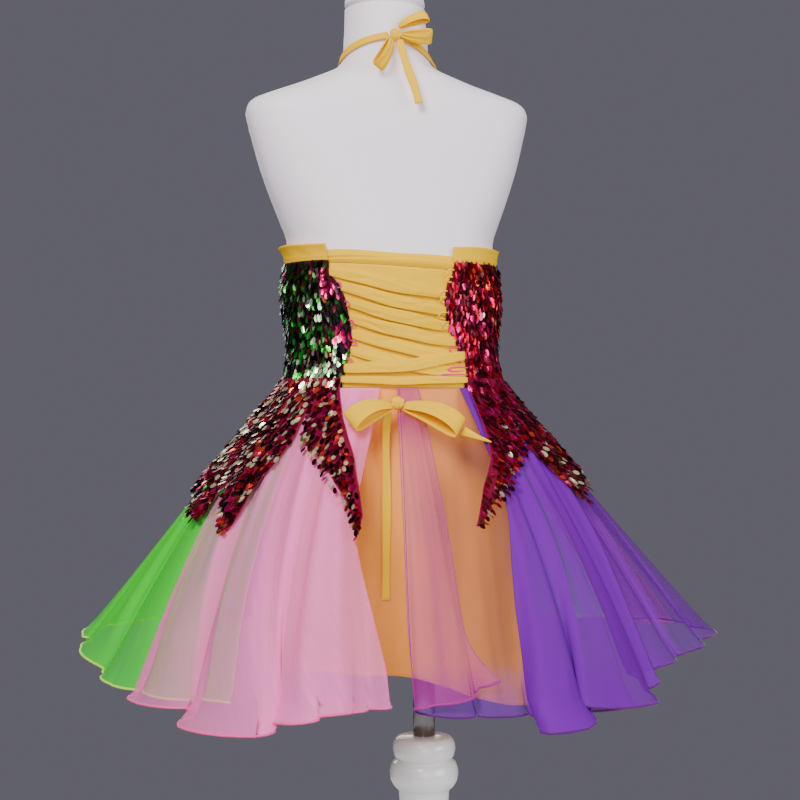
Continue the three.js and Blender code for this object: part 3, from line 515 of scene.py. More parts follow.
def cloth(name, grid, material, thickness):
    """A sheet of cloth on a grid of points, whose outer side is the grid."""
    rows, columns = grid.shape[:2]
    down = grid[1:, :-1] - grid[:-1, :-1]
    round_ = grid[:-1, 1:] - grid[:-1, :-1]
    outward = grid[:-1, :-1] - point_round(grid[:-1, :-1, 2], 0, 0)
    faces = grid_faces(rows, columns)
    if (np.cross(down, round_) * outward).sum() < 0:
        faces = [face[::-1] for face in faces]
    piece = new_piece(name, grid.reshape(-1, 3), faces, material, grid_uv(grid))
    if thickness:
        apply_modifier(piece, "SOLIDIFY", thickness=thickness * MM, offset=-1)
    return piece


def tube(name, grid, material):
    """A closed tube through rings of points, with rounded ends."""
    rings = [grid]
    for end, inner in ((0, 1), (-1, -2)):
        middle = grid[end].mean(axis=0)
        away = unit(middle - grid[inner].mean(axis=0)) * 0.35
        cap = np.stack([middle + (grid[end] - middle) * share + away for share in (0.75, 0.3)])
        rings = [cap[::-1], *rings] if end == 0 else [*rings, cap]
    grid = np.concatenate(rings)
    rows, columns = grid.shape[:2]
    faces = grid_faces(rows, columns, around=True)
    faces.append(tuple(range(columns)))
    faces.append(tuple(reversed(range((rows - 1) * columns, rows * columns))))
    piece = new_piece(name, grid.reshape(-1, 3), faces, material, grid_uv(grid))
    face_outwards(piece)
    return piece


def band_rings(path, wide, width, thickness, ridge=None, sides=20):
    """Rings of a flat band along a path. ridge(across, along) adds to its outer side."""
    path = np.asarray(path, float)
    count = len(path)
    along = unit(np.gradient(path, axis=0))
    wide = np.broadcast_to(np.asarray(wide, float), path.shape)
    wide = unit(wide - (wide * along).sum(axis=1, keepdims=True) * along)
    facing = unit(np.cross(along, wide))
    turn = np.linspace(0, 2 * math.pi, sides, endpoint=False)
    across = np.cos(turn)
    raised = np.sign(np.sin(turn)) * np.abs(np.sin(turn)) ** 0.6
    v = np.linspace(0, 1, count)[:, None]
    width = np.broadcast_to(width, count)[:, None]
    thickness = np.broadcast_to(thickness, count)[:, None]
    lift = raised * thickness / 2
    if ridge is not None:
        lift = lift + ridge(np.broadcast_to(across, (count, sides)), v) * (np.abs(across) < 0.95)
    return (
        path[:, None, :]
        + wide[:, None, :] * (across * width / 2)[..., None]
        + facing[:, None, :] * lift[..., None]
    )


def smooth_path(points, count):
    """count points on a smooth curve through some points."""
    points = np.asarray(points, float)
    places = np.arange(len(points))
    at = np.linspace(0, len(points) - 1, count)
    return np.stack([curve_at(places, points[:, i], at) for i in range(points.shape[1])], axis=-1)


def round_tube(points, radius, sides=6):
    """Vertices and faces of a thin round thread along a path."""
    points = np.asarray(points, float)
    along = unit(np.gradient(points, axis=0))
    helper = np.where(np.abs(along[:, 2:3]) < 0.9, [[0.0, 0, 1]], [[1.0, 0, 0]])
    side = unit(np.cross(along, helper))
    other = np.cross(along, side)
    turn = np.linspace(0, 2 * math.pi, sides, endpoint=False)
    radius = np.broadcast_to(radius, len(points))[:, None, None]
    ring = side[:, None] * np.cos(turn)[:, None] + other[:, None] * np.sin(turn)[:, None]
    return (points[:, None] + ring * radius).reshape(-1, 3)


def threads(name, paths, radius, material, slot, sides=6):
    """One piece made of several thin round threads."""
    points, faces = [], []
    for path in paths:
        start = sum(len(p) for p in points)
        ring_points = round_tube(path, radius, sides)
        points.append(ring_points)
        faces += grid_faces(len(path), sides, around=True, start=start)
        faces.append(tuple(start + i for i in range(sides)))
        end = start + len(ring_points) - sides
        faces.append(tuple(end + i for i in reversed(range(sides))))
    piece = new_piece(name, np.concatenate(points), faces, material)
    face_outwards(piece)
    return piece


# Materials


def new_group(name, inputs, outputs):
    """A new shader node group, with its two ends."""
    tree = bpy.data.node_groups.new(name, "ShaderNodeTree")
    for socket, kind, value in inputs:
        made = tree.interface.new_socket(name=socket, in_out="INPUT", socket_type=kind)
        if value is not None:
            made.default_value = value
    for socket, kind in outputs:
        tree.interface.new_socket(name=socket, in_out="OUTPUT", socket_type=kind)
    start = tree.nodes.new("NodeGroupInput")
    end = tree.nodes.new("NodeGroupOutput")
    return tree, start.outputs, end.inputs


def shade_group():
    """Uneven dye: the colour is a little lighter and darker in soft patches."""
    if "uneven_dye" in bpy.data.node_groups:
        return bpy.data.node_groups["uneven_dye"]
    tree, given, result = new_group(
        "uneven_dye",
        [("Vector", "NodeSocketVector", None), ("Colour", "NodeSocketColor", (1, 1, 1, 1)),
         ("Scale", "NodeSocketFloat", 20), ("Amount", "NodeSocketFloat", 0.1)],
        [("Colour", "NodeSocketColor"), ("Value", "NodeSocketFloat")],
    )
    nodes, link = tree.nodes, tree.links.new
    noise = nodes.new("ShaderNodeTexNoise")
    noise.inputs["Detail"].default_value = 4
    link(given["Vector"], noise.inputs["Vector"])
    link(given["Scale"], noise.inputs["Scale"])
    centred = nodes.new("ShaderNodeMath")
    centred.operation = "SUBTRACT"
    centred.inputs[1].default_value = 0.5
    link(noise.outputs["Fac"], centred.inputs[0])
    scaled = nodes.new("ShaderNodeMath")
    scaled.operation = "MULTIPLY_ADD"
    scaled.inputs[2].default_value = 1.0
    link(centred.outputs[0], scaled.inputs[0])
    link(given["Amount"], scaled.inputs[1])
    tone = nodes.new("ShaderNodeHueSaturation")
    link(scaled.outputs[0], tone.inputs["Value"])
    link(given["Colour"], tone.inputs["Color"])
    link(tone.outputs["Color"], result["Colour"])
    link(noise.outputs["Fac"], result["Value"])
    return tree


def weave_group():
    """Threads that cross, from a UV map in metres."""
    if "crossed_threads" in bpy.data.node_groups:
        return bpy.data.node_groups["crossed_threads"]
    tree, given, result = new_group(
        "crossed_threads",
        [("Vector", "NodeSocketVector", None), ("Threads", "NodeSocketFloat", 800)],
        [("Height", "NodeSocketFloat")],
    )
    nodes, link = tree.nodes, tree.links.new
    waves = []
    for direction in ("X", "Y"):
        wave = nodes.new("ShaderNodeTexWave")
        wave.bands_direction = direction
        wave.inputs["Distortion"].default_value = 0.6
        link(given["Vector"], wave.inputs["Vector"])
        link(given["Threads"], wave.inputs["Scale"])
        waves.append(wave)
    both = nodes.new("ShaderNodeMath")
    both.operation = "MAXIMUM"
    link(waves[0].outputs["Fac"], both.inputs[0])
    link(waves[1].outputs["Fac"], both.inputs[1])
    link(both.outputs[0], result["Height"])
    return tree


def put_group(nodes, tree, **values):
    """Places a node group with its own values."""
    node = nodes.new("ShaderNodeGroup")
    node.node_tree = tree
    for key, value in values.items():
        node.inputs[key].default_value = value
    return node


class Finish:
    """A new material, with the effects that can be put on its shader."""

    def __init__(self, name, roughness, metallic=0.0, sheen=0.0, coat=0.0, specular=0.5):
        self.material = bpy.data.materials.new(name)
        self.material.use_nodes = True
        self.nodes = self.material.node_tree.nodes
        self.link = self.material.node_tree.links.new
        self.sockets = self.nodes["Principled BSDF"].inputs
        for socket, value in (("Roughness", roughness), ("Metallic", metallic),
                              ("Sheen Weight", sheen), ("Sheen Roughness", 0.4),
                              ("Coat Weight", coat), ("Specular IOR Level", specular)):
            self.sockets[socket].default_value = value
        self.place = self.nodes.new("ShaderNodeTexCoord").outputs

    def stretched(self, source, scale):
        stretch = self.nodes.new("ShaderNodeMapping")
        stretch.inputs["Scale"].default_value = scale
        self.link(source, stretch.inputs["Vector"])
        return stretch.outputs["Vector"]

    def dye(self, colour, scale, amount, source=None):
        """Uneven dye for the base colour."""
        dye = put_group(self.nodes, shade_group(), Colour=(*colour, 1), Scale=scale, Amount=amount)
        self.link(source or self.place["Object"], dye.inputs["Vector"])
        self.link(dye.outputs["Colour"], self.sockets["Base Color"])
        return dye

    def share(self, source, least, most):
        """A value that runs from least to most with the source."""
        mapped = self.nodes.new("ShaderNodeMapRange")
        mapped.inputs["To Min"].default_value = least
        mapped.inputs["To Max"].default_value = most
        self.link(source, mapped.inputs["Value"])
        return mapped.outputs["Result"]

    def bump(self, height, strength, distance):
        bump = self.nodes.new("ShaderNodeBump")
        bump.inputs["Strength"].default_value = strength
        bump.inputs["Distance"].default_value = distance
        self.link(height, bump.inputs["Height"])
        self.link(bump.outputs["Normal"], self.sockets["Normal"])

    def weave(self, threads, strength, distance):
        """Crossed threads as a bump, from the UV map."""
        weave = put_group(self.nodes, weave_group(), Threads=float(threads))
        self.link(self.place["UV"], weave.inputs["Vector"])
        self.bump(weave.outputs["Height"], strength, distance)


def fabric_material(name, colour, roughness, sheen, thread=900, patch=0.16):
    finish = Finish(name, roughness, sheen=sheen, specular=0.15)
    finish.dye(colour, 28.0, patch)
    finish.weave(thread, 0.25, 0.0002)
    return finish.material


def organza_material(name, colour, cover):
    """Sheer cloth: how much it covers comes from the cloth_fullness attribute and fine streaks."""
    finish = Finish(name, 0.6, specular=0.15)
    nodes, link = finish.nodes, finish.link
    finish.dye(colour, 14.0, 0.12)
    streaks = nodes.new("ShaderNodeTexNoise")
    streaks.inputs["Scale"].default_value = 1
    streaks.inputs["Detail"].default_value = 3
    link(finish.stretched(finish.place["UV"], (420, 5, 1)), streaks.inputs["Vector"])
    fullness = nodes.new("ShaderNodeAttribute")
    fullness.attribute_name = "cloth_fullness"
    thickness = nodes.new("ShaderNodeMath")
    thickness.operation = "MULTIPLY"
    thickness.use_clamp = True
    link(finish.share(streaks.outputs["Fac"], cover - 0.05, cover + 0.05), thickness.inputs[0])
    link(fullness.outputs["Fac"], thickness.inputs[1])
    link(thickness.outputs[0], finish.sockets["Alpha"])
    finish.weave(1400, 0.06, 0.0001)
    return finish.material


def sequin_material():
    """Metallic film whose colour is stored on each sequin; some of these colours are painted
    highlights and painted shade.
    """
    finish = Finish("sequin_film", 0.24, metallic=0.8)
    tint = finish.nodes.new("ShaderNodeAttribute")
    tint.attribute_name = "sequin_colour"
    dye = finish.dye((1, 1, 1), 160.0, 0.25)
    finish.link(tint.outputs["Color"], dye.inputs["Colour"])
    finish.link(finish.share(dye.outputs["Value"], 0.16, 0.36), finish.sockets["Roughness"])
    return finish.material


def mesh_ground_material(name, colour):
    """Knitted mesh under the sequins, with darker gaps between its threads."""
    finish = Finish(name, 0.8, specular=0.15)
    finish.dye(colour, 90.0, 0.7)
    finish.weave(260, 0.6, 0.0006)
    return finish.material


def form_material():
    finish = Finish("form_cover", 0.55, sheen=0.15)
    finish.dye(bpy.context.scene.dress_colours.form, 6.0, 0.05)
    grain = put_group(finish.nodes, shade_group(), Scale=900.0, Amount=0.0)
    finish.link(finish.place["Object"], grain.inputs["Vector"])
    finish.bump(grain.outputs["Value"], 0.12, 0.0002)
    return finish.material


def steel_material():
    finish = Finish("steel_tube", 0.2, metallic=1.0)
    streaks = finish.stretched(finish.place["Object"], (300, 300, 4))
    dye = finish.dye((0.2, 0.19, 0.19), 1.0, 0.5, streaks)
    finish.link(finish.share(dye.outputs["Value"], 0.12, 0.3), finish.sockets["Roughness"])
    return finish.material


def gloss_material():
    finish = Finish("white_lacquer", 0.22, coat=0.6)
    dye = finish.dye((0.86, 0.85, 0.84), 9.0, 0.05)
    finish.bump(dye.outputs["Value"], 0.05, 0.0008)
    return finish.material


# The materials that are already made, by slot
MADE = {}


def material_for(slot):
    """The material of one of the record's slots, made the first time that it is asked for."""
    if slot in MADE:
        return MADE[slot]
    colours = bpy.context.scene.dress_colours
    sizes = bpy.context.scene.dress_sizes
    makers = {
        "yellow_satin": lambda: fabric_material(slot, colours.yellow, 0.7, 0.0),
        "peach_satin": lambda: fabric_material(slot, colours.peach, 0.42, 0.08, 1200, 0.12),
        "green_organza": lambda: organza_material(slot, colours.green, sizes.cover * 1.3),
        "pink_organza": lambda: organza_material(slot, colours.pink, sizes.cover * 1.1),
        "mauve_organza": lambda: organza_material(slot, colours.mauve, sizes.cover * 0.75),
        "purple_organza": lambda: organza_material(slot, colours.purple, sizes.cover * 1.4),
        "sequin_green": lambda: mesh_ground_material(slot, srgb(70, 8, 36)),
        "sequin_red": lambda: mesh_ground_material(slot, srgb(130, 6, 40)),
        "sequin_pink": lambda: mesh_ground_material(slot, srgb(120, 6, 46)),
        "form_white": form_material,
        "pole_steel": steel_material,
        "stand_gloss": gloss_material,
    }
    MADE[slot] = makers[slot]()
    MADE[slot].name = slot + "_finish"
    return MADE[slot]


def trim_material(name, colour):
    """Thread or cord of one colour, made once."""
    if name in bpy.data.materials:
        return bpy.data.materials[name]
    return fabric_material(name, colour, 0.5, 0.2, 500, 0.2)


# The form and its stand


def make_form():
    """The torso with a fine seam down its back, and the cap on its neck."""
    heights = np.concatenate([
        np.linspace(FORM_FOOT, 470, 8)[:-1], np.linspace(470, 900, 90)[:-1],
        np.linspace(900, FORM_TOP, 60),
    ])
    angles = np.linspace(0, 360, 128, endpoint=False)
    grid = body_point(heights[:, None], angles[None, :], 0)
    # A fine seam runs down the middle of the back
    seam = hump(wrapped(angles), 1.5, 2.2)[None, :] * np.clip((heights[:, None] - 760) / 30, 0, 1)
    grid += (grid - point_round(heights[:, None], angles[None, :], 0)) * (seam * 0.0055)[..., None]
    piece = tube("form_cover", grid, material_for("form_white"))
    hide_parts("form_torso")
    rings = [point_round(FORM_TOP + rise, angles, section_radius(FORM_TOP, angles) - inset)
             for rise, inset in CAP_PROFILE]
    cap = tube("neck_cap_cover", np.stack(rings), material_for("form_white"))
    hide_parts("form_neck_cap")


def turned(name, profile, slot, node):
    """A turned piece: a ring at the foot, then extruded and resized up the profile."""
    deselect()
    height, radius = profile[0]
    bpy.ops.mesh.primitive_circle_add(vertices=72, radius=radius * MM, fill_type="NGON",
                                      location=(0, 0, height * MM))
    piece = bpy.context.active_object
    piece.name = name
    bpy.ops.object.mode_set(mode="EDIT")
    bpy.ops.mesh.select_all(action="SELECT")
    for (low, before), (high, after) in zip(profile, profile[1:]):
        lift = (0, 0, (high - low) * MM)
        bpy.ops.mesh.extrude_region_move(TRANSFORM_OT_translate={"value": lift})
        share = after / before
        bpy.ops.transform.resize(value=(share, share, 1), center_override=(0, 0, high * MM))
    bpy.ops.mesh.select_all(action="SELECT")
    bpy.ops.mesh.normals_make_consistent(inside=False)
    bpy.ops.object.mode_set(mode="OBJECT")
    bpy.ops.object.transform_apply(location=True, rotation=True, scale=True)
    bpy.ops.object.shade_smooth_by_angle(angle=math.radians(40))
    piece.data.materials.clear()
    piece.data.materials.append(material_for(slot))
    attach(piece, "root")
    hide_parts(node)
    deselect()
    return piece


def softened(profile, steps=3):
    """A profile with points added on a smooth curve between its own."""
    heights = column(profile, 0)
    places = np.arange(len(profile))
    at = np.linspace(0, len(profile) - 1, (len(profile) - 1) * steps + 1)
    radii = curve_at(places, column(profile, 1), at)
    levels = np.maximum.accumulate(np.interp(at, places, heights))
    # Each ring stands a hair above the one before, so none lie in one place
    return [(level + 0.001 * i, radius) for i, (level, radius) in enumerate(zip(levels, radii))]


def make_stand():
    """The turned post, the round base and the steel pole."""
    post = [row for row in POST_PROFILE if row[1] > 0]
    turned("turned_post", softened(post), "stand_gloss", "stand_post")
    turned("round_base", BASE_PROFILE, "stand_gloss", "stand_base")
    foot, top = POST_TOP + 0.3, FORM_FOOT - 0.3
    # The tube's ends are chamfered, and a groove runs round it where its two parts join
    groove = foot + 60
    pole = [
        (foot, POLE_RADIUS - 0.2), (foot + 0.3, POLE_RADIUS), (groove, POLE_RADIUS),
        (groove + 0.4, POLE_RADIUS - 0.4), (groove + 1.4, POLE_RADIUS - 0.4),
        (groove + 1.8, POLE_RADIUS), (top - 0.3, POLE_RADIUS), (top, POLE_RADIUS - 0.2),
    ]
    turned("steel_tube", pole, "pole_steel", "stand_pole")


# Sequins

# The mint and cream films are painted highlights: sequins drawn lit, as glints. The near-black
# film is painted shade: sequins drawn dark as if turned away from the light. The other films are
# the sequins' own colours.
SEQUIN_FILMS_AND_PAINTED_LIGHT = {
    "shade_black": srgb(16, 5, 9), "moss": srgb(22, 66, 14), "leaf": srgb(40, 165, 40),
    "glint_mint": srgb(190, 250, 180), "glint_cream": srgb(255, 240, 190), "magenta": srgb(185, 12, 90),
    "pink": srgb(240, 60, 150), "maroon": srgb(74, 2, 20), "crimson": srgb(165, 2, 30),
    "ember": srgb(235, 80, 40), "bronze": srgb(110, 50, 20),
}
# Where each mix of films lies: place across (0 left to 1 right), height (0 low to 1 high),
# reach, and the shares of the mix
GREEN_MIX = [
    (0.5, 0.5, 0.45,
     {"shade_black": 9, "moss": 5, "leaf": 0.7, "maroon": 2.4, "bronze": 1.6, "glint_cream": 0.2}),
    (0.55, 0.66, 0.16, {"moss": 8, "shade_black": 5, "leaf": 2}),
    # These four patches, rich in mint and cream films, are painted highlights: clusters of sequins
    # drawn lit.
    (0.45, 0.9, 0.1, {"glint_mint": 5, "leaf": 2, "magenta": 1, "moss": 4, "shade_black": 3}),
    (0.72, 0.62, 0.08, {"glint_mint": 3, "leaf": 2, "shade_black": 5, "magenta": 0.6}),
    (0.6, 0.38, 0.1, {"leaf": 3, "glint_mint": 1, "moss": 5, "shade_black": 3}),
    (0.78, 0.12, 0.12, {"glint_mint": 6, "glint_cream": 4, "leaf": 1.5, "bronze": 2, "shade_black": 3}),
    (0.03, 0.6, 0.12, {"magenta": 5, "maroon": 5, "shade_black": 3, "glint_cream": 0.3}),
    (1.0, 0.85, 0.05, {"magenta": 8, "pink": 3, "shade_black": 2}),
    (1.0, 0.45, 0.05, {"magenta": 6, "pink": 2, "shade_black": 4, "leaf": 0.4}),
]
RED_MIX = [
    (0.5, 0.5, 0.6, {"crimson": 7, "maroon": 7, "magenta": 1.5, "glint_cream": 0.05}),
    (0.08, 0.7, 0.15, {"maroon": 6, "crimson": 3, "magenta": 3, "glint_cream": 0.4}),
    (0.35, 0.95, 0.14, {"crimson": 4, "ember": 1.5, "maroon": 3}),
    (0.1, 0.2, 0.2, {"magenta": 5, "crimson": 3, "maroon": 3}),
]
LEFT_POINT_MIX = [
    (0.5, 0.5, 0.6,
     {"maroon": 7, "magenta": 3, "crimson": 2, "glint_cream": 1.1, "ember": 1.2, "bronze": 1}),
    # This patch, rich in cream films, is a painted highlight: sequins drawn lit.
    (0.6, 0.92, 0.28, {"glint_cream": 5, "maroon": 3, "magenta": 1.5, "ember": 1.5, "shade_black": 1}),
    (0.1, 0.6, 0.3, {"glint_cream": 2, "shade_black": 4, "leaf": 0.6, "maroon": 4, "ember": 1}),
    (0.2, 0.1, 0.3, {"shade_black": 5, "bronze": 2, "magenta": 2, "glint_cream": 1}),
]
RIGHT_POINT_MIX = [
    (0.5, 0.5, 0.6, {"maroon": 8, "crimson": 5, "magenta": 3, "glint_cream": 0.25, "ember": 0.6}),
    # The cream films in this patch are painted highlights.
    (0.3, 0.1, 0.25, {"bronze": 3, "maroon": 4, "glint_cream": 1.2, "ember": 1}),
    (0.1, 0.9, 0.25, {"magenta": 4, "maroon": 4, "crimson": 1}),
]


def pick_films_and_painted_light(across, up, mix, rng):
    """One colour for each sequin, drawn from the mixes that lie near it; some are films' own
    colours, some painted highlights and some painted shade.
    """
    names = list(SEQUIN_FILMS_AND_PAINTED_LIGHT)
    weights = np.zeros((len(across), len(names)))
    for place, height, reach, films in mix:
        near = np.exp(-((across - place) ** 2 + (up - height) ** 2) / (2 * reach**2)) / reach
        for film, share in films.items():
            weights[:, names.index(film)] += near * share / sum(films.values())
    weights /= weights.sum(axis=1, keepdims=True)
    drawn = (rng.random(len(across))[:, None] > np.cumsum(weights, axis=1)).sum(axis=1)
    colours = np.array([SEQUIN_FILMS_AND_PAINTED_LIGHT[name] for name in names])
    chosen = colours[np.minimum(drawn, len(names) - 1)]
    return np.clip(chosen * rng.uniform(0.8, 1.25, (len(across), 1)), 0, 1)


# How far sequins turn on their strings and lift off, in radians, and how the strings sway
YAW_SPREAD, ROLL_SPREAD = 0.2, 0.3
LIFT, LIFT_SPREAD, LEAST_LIFT = 0.14, 0.16, 0.03
SWAY, SWAY_LENGTH, SWAY_SPREAD = 1.1, 13, 0.3
STRING_INSET = 0.4
# Each sequin is a fan of corners round its middle, slightly dished
CORNERS = 8
RIM_HEIGHT, MIDDLE_HEIGHT = 0.35, 0.1


def strung_spots(edges, place, start, stop, rng):
    """Places on wavy strings that run between two edges, from start to stop."""
    sizes = bpy.context.scene.dress_sizes
    spacing, pitch = sizes.string_spacing / MM, sizes.sequin_pitch / MM
    spots = []
    phase = rng.uniform(0, 1, 120)
    wave = rng.uniform(0, 2 * math.pi, 120)
    direction = np.sign(stop - start)
    for step in np.arange(0, abs(stop - start), pitch):
        at = start + direction * step
        left, right = edges(at)
        angles = np.linspace(left, right, 49)
        line = place(np.full(49, at), angles, 0)
        run = np.concatenate([[0], np.cumsum(np.linalg.norm(np.diff(line, axis=0), axis=1))])
        strings = max(1, round(run[-1] / spacing))
        for k in range(strings):
            sway = SWAY * math.sin(step / SWAY_LENGTH + wave[k]) + rng.normal(0, SWAY_SPREAD)
            offset = np.clip((k + 0.5) * run[-1] / strings + sway, STRING_INSET,
                             max(run[-1] - STRING_INSET, STRING_INSET + 0.1))
            spots.append((at + direction * phase[k] * pitch * 0.8, np.interp(offset, run, angles),
                          offset / max(run[-1], 1), step / abs(stop - start)))
    return np.array(spots)


def swung(one, two, angle):
    """Two directions that are square to each other, turned in their own plane."""
    cos, sin = np.cos(angle)[:, None], np.sin(angle)[:, None]
    return one * cos + two * sin, two * cos - one * sin


def sequins(name, edges, place, start, stop, mix, seed, seat):
    """Oval sequins hung on strings over a piece of mesh, joined into one piece."""
    rng = np.random.default_rng(seed)
    sizes = bpy.context.scene.dress_sizes
    spots = strung_spots(edges, place, start, stop, rng)
    at, angle, across, down_share = spots.T
    count = len(at)
    toward = np.sign(stop - start) * 0.5
    origin = place(at, angle, seat)
    down = unit(place(at + toward, angle, seat) - place(at - toward, angle, seat))
    side = unit(place(at, angle + 0.4, seat) - place(at, angle - 0.4, seat))
    facing = unit(np.cross(side, down))
    away = origin - point_round(origin[:, 2], angle, 0)
    facing *= np.sign((facing * away).sum(axis=1, keepdims=True))
    side = unit(np.cross(down, facing))
    yaw, roll = rng.normal(0, YAW_SPREAD, count), rng.normal(0, ROLL_SPREAD, count)
    lift = np.abs(rng.normal(LIFT, LIFT_SPREAD, count)) + LEAST_LIFT
    down, side = swung(down, side, yaw)
    side, facing = swung(side, facing, roll)
    down, facing = swung(down, facing, lift)
    turn = np.linspace(0, 2 * math.pi, CORNERS, endpoint=False) + math.pi / CORNERS
    length = sizes.sequin_length / MM * rng.uniform(0.9, 1.08, count)
    width = sizes.sequin_width / MM * rng.uniform(0.9, 1.08, count)
    rim_down = (0.5 + 0.5 * np.cos(turn))[None, :, None] * length[:, None, None]
    rim_side = (0.5 * np.sin(turn))[None, :, None] * width[:, None, None]
    rim = origin[:, None] + down[:, None] * rim_down + side[:, None] * rim_side
    rim = rim + facing[:, None] * RIM_HEIGHT
    middle = origin + down * length[:, None] * 0.5 + facing * MIDDLE_HEIGHT
    points = np.concatenate([middle[:, None], rim], axis=1)
    starts = range(0, count * (CORNERS + 1), CORNERS + 1)
    faces = [(start, start + 1 + i, start + 1 + (i + 1) % CORNERS)
             for start in starts for i in range(CORNERS)]
    first = np.cross(points[0, 1] - points[0, 0], points[0, 2] - points[0, 0])
    if (first * facing[0]).sum() < 0:
        faces = [face[::-1] for face in faces]
    film = bpy.data.materials.get("sequin_film") or sequin_material()
    piece = new_piece(name, points.reshape(-1, 3), faces, film, smooth=False)
    tint = piece.data.color_attributes.new("sequin_colour", "FLOAT_COLOR", "POINT")
    colours = np.ones((count, CORNERS + 1, 4), np.float32)
    colours[..., :3] = pick_films_and_painted_light(across, 1 - down_share, mix, rng)[:, None]
    tint.data.foreach_set("color", colours.ravel())
    return piece


# The bodice

BODICE = {
    "bodice_side_left": (lambda z: -SIDE_SEAM, back_left, GREEN_MIX, "sequin_green", 11),
    "bodice_side_right": (back_right, lambda z: SIDE_SEAM, RED_MIX, "sequin_red", 12),
    "bodice_front": (lambda z: SIDE_SEAM, lambda z: 360 - SIDE_SEAM, RED_MIX, "sequin_red", 13),
}
BAND_CURLS = {"bodice_side_left": 7, "bodice_side_right": 4, "bodice_front": 1}


def edge_columns(left, right, heights, count):
    """Angles between two edges, at each height, as a grid."""
    share = np.linspace(0, 1, count)[None, :]
    lefts = np.array([left(z) for z in heights], float)[:, None] + EDGE_GAP
    rights = np.array([right(z) for z in heights], float)[:, None] - EDGE_GAP
    return lefts + (rights - lefts) * share


def declare_sheet(grid):
    """Works out the cut of a sheet that shows, its widest and longest run and its area, and keeps
    none of them.
    """
    across = np.linalg.norm(np.diff(grid, axis=1), axis=2).sum(axis=1).max() * MM
    along = np.linalg.norm(np.diff(grid, axis=0), axis=2).sum(axis=0).max() * MM
    one, two = grid[1:, 1:] - grid[:-1, :-1], grid[1:, :-1] - grid[:-1, 1:]
    area = np.linalg.norm(np.cross(one, two), axis=2).sum() / 2 * MM * MM
    state_flat(across, along, area)


def declare_tube(grid):
    """Works out the flat size of a band of cloth, whose closed mesh has two sides, and keeps none
    of it.
    """
    length = np.linalg.norm(np.diff(grid.mean(axis=1), axis=0), axis=1).sum() * MM
    round_ = np.linalg.norm(grid - np.roll(grid, 1, axis=1), axis=2).sum(axis=1).mean() * MM
    state_flat(round_ / 2, length, round_ / 2 * length)


def state_flat(width, length, area):
    width, length = max(width, LEAST_FLAT), max(length, LEAST_FLAT)
    area = min(max(area, width * length * LEAST_SHARE), width * length)


def yellow_band(node, grid):
    """A closed band of yellow cloth in a node's place."""
    piece = tube(node + "_cloth", grid, material_for("yellow_satin"))
    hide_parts(node)
    declare_tube(grid)


SEQUIN_SEAT = BODY_GAP + 1.9


def front_peak_edges(height):
    """The front rises above its side seams, and narrows from there."""
    inset = max(height - 774, 0) * 1.05
    return SIDE_SEAM + 2 + inset, 358 - SIDE_SEAM - inset


def make_bodice():
    """The three sequined panels, each with its band along the top."""
    for node, (left, right, mix, slot, seed) in BODICE.items():
        count = 80 if node == "bodice_front" else 60
        share = np.linspace(0, 1, 48)[:, None]
        top_angles = edge_columns(left, right, [FORM_TOP], count)
        tops = smooth_from(TOP_EDGE, wrapped(top_angles))
        foot = WAIST_Z + WAIST_GAP
        z = foot + (tops - foot) * share
        lefts = np.vectorize(left, otypes=[float])(z) + EDGE_GAP
        rights = np.vectorize(right, otypes=[float])(z) - EDGE_GAP
        angles = lefts + (rights - lefts) * np.linspace(0, 1, count)[None, :]
        ripple = 0.25 * np.sin(z / 9 + angles / 5) * np.sin(angles / 3.1)
        grid = body_point(z, angles, BODY_GAP + CLOTH_OUT + ripple)
        piece = cloth(node + "_mesh", grid, material_for(slot), THIN_CLOTH)
        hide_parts(node)
        sewn = [sequins(
            node + "_sequins",
            lambda height, l=left, r=right: (l(height) + 0.8, r(height) - 0.8),
            body_point, SEQUIN_TOP[node], foot - 1, mix, seed, SEQUIN_SEAT,
        )]
        if node == "bodice_front":
            sewn.append(sequins("bodice_front_upper_sequins", front_peak_edges, body_point,
                                FRONT_PEAK, SEQUIN_TOP[node] + 2, mix, 14, SEQUIN_SEAT))
        declare_sheet(grid)
        make_band(node, top_angles, tops)


def make_band(node, top_angles, tops):
    """A folded yellow band that curls out at its top."""
    share = np.linspace(0, 1, 14)[:, None]
    v = share * np.ones_like(top_angles)
    lean = 0.35 + 0.65 * np.abs(np.sin(np.radians(top_angles)))
    curl = BAND_CURLS[node] * v * v * lean
    puff = 0.7 * np.sin(math.pi * v) + 0.5 * hump(v, 0.22, 0.16) - 0.5 * hump(v, 0.12, 0.1)
    ruck = 0.5 * np.sin(top_angles / 2.3 + 3 * v) * hump(v, 0.6, 0.5)
    rise = 0.7 * np.sin(top_angles / 7.0) * v
    z = tops + BAND_GAP + v * BAND_HEIGHT + rise
    grid = body_point(z, top_angles, BODY_GAP + curl + 1.9 + puff * 0.6 + ruck * 0.5)
    name = "top_band" + node.replace("bodice_side", "").replace("bodice", "")
    piece = cloth(name + "_cloth", grid, material_for("yellow_satin"), 1.2)
    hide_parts(name)
    declare_sheet(grid)


# Creases of the back panel: height, slope, depth, half width, and where across it
BACK_CREASES = [
    (748, -6, 0.5, 5, 0.2), (735, 3, -0.4, 4, 0.9), (722, -4, 0.5, 5, 0.15),
    (706, 5, 0.5, 4, 0.85), (693, -3, -0.4, 4, 0.3), (679, 4, 0.5, 5, 0.9),
    (664, -5, 0.5, 4, 0.1), (650, 3, -0.4, 4, 0.7),
]


def roll_top(angle):
    """Height of the back's rolled edge, which falls to the right."""
    return ROLL_TOP - ROLL_FALL * np.clip((angle + 50) / 86, 0, 1)


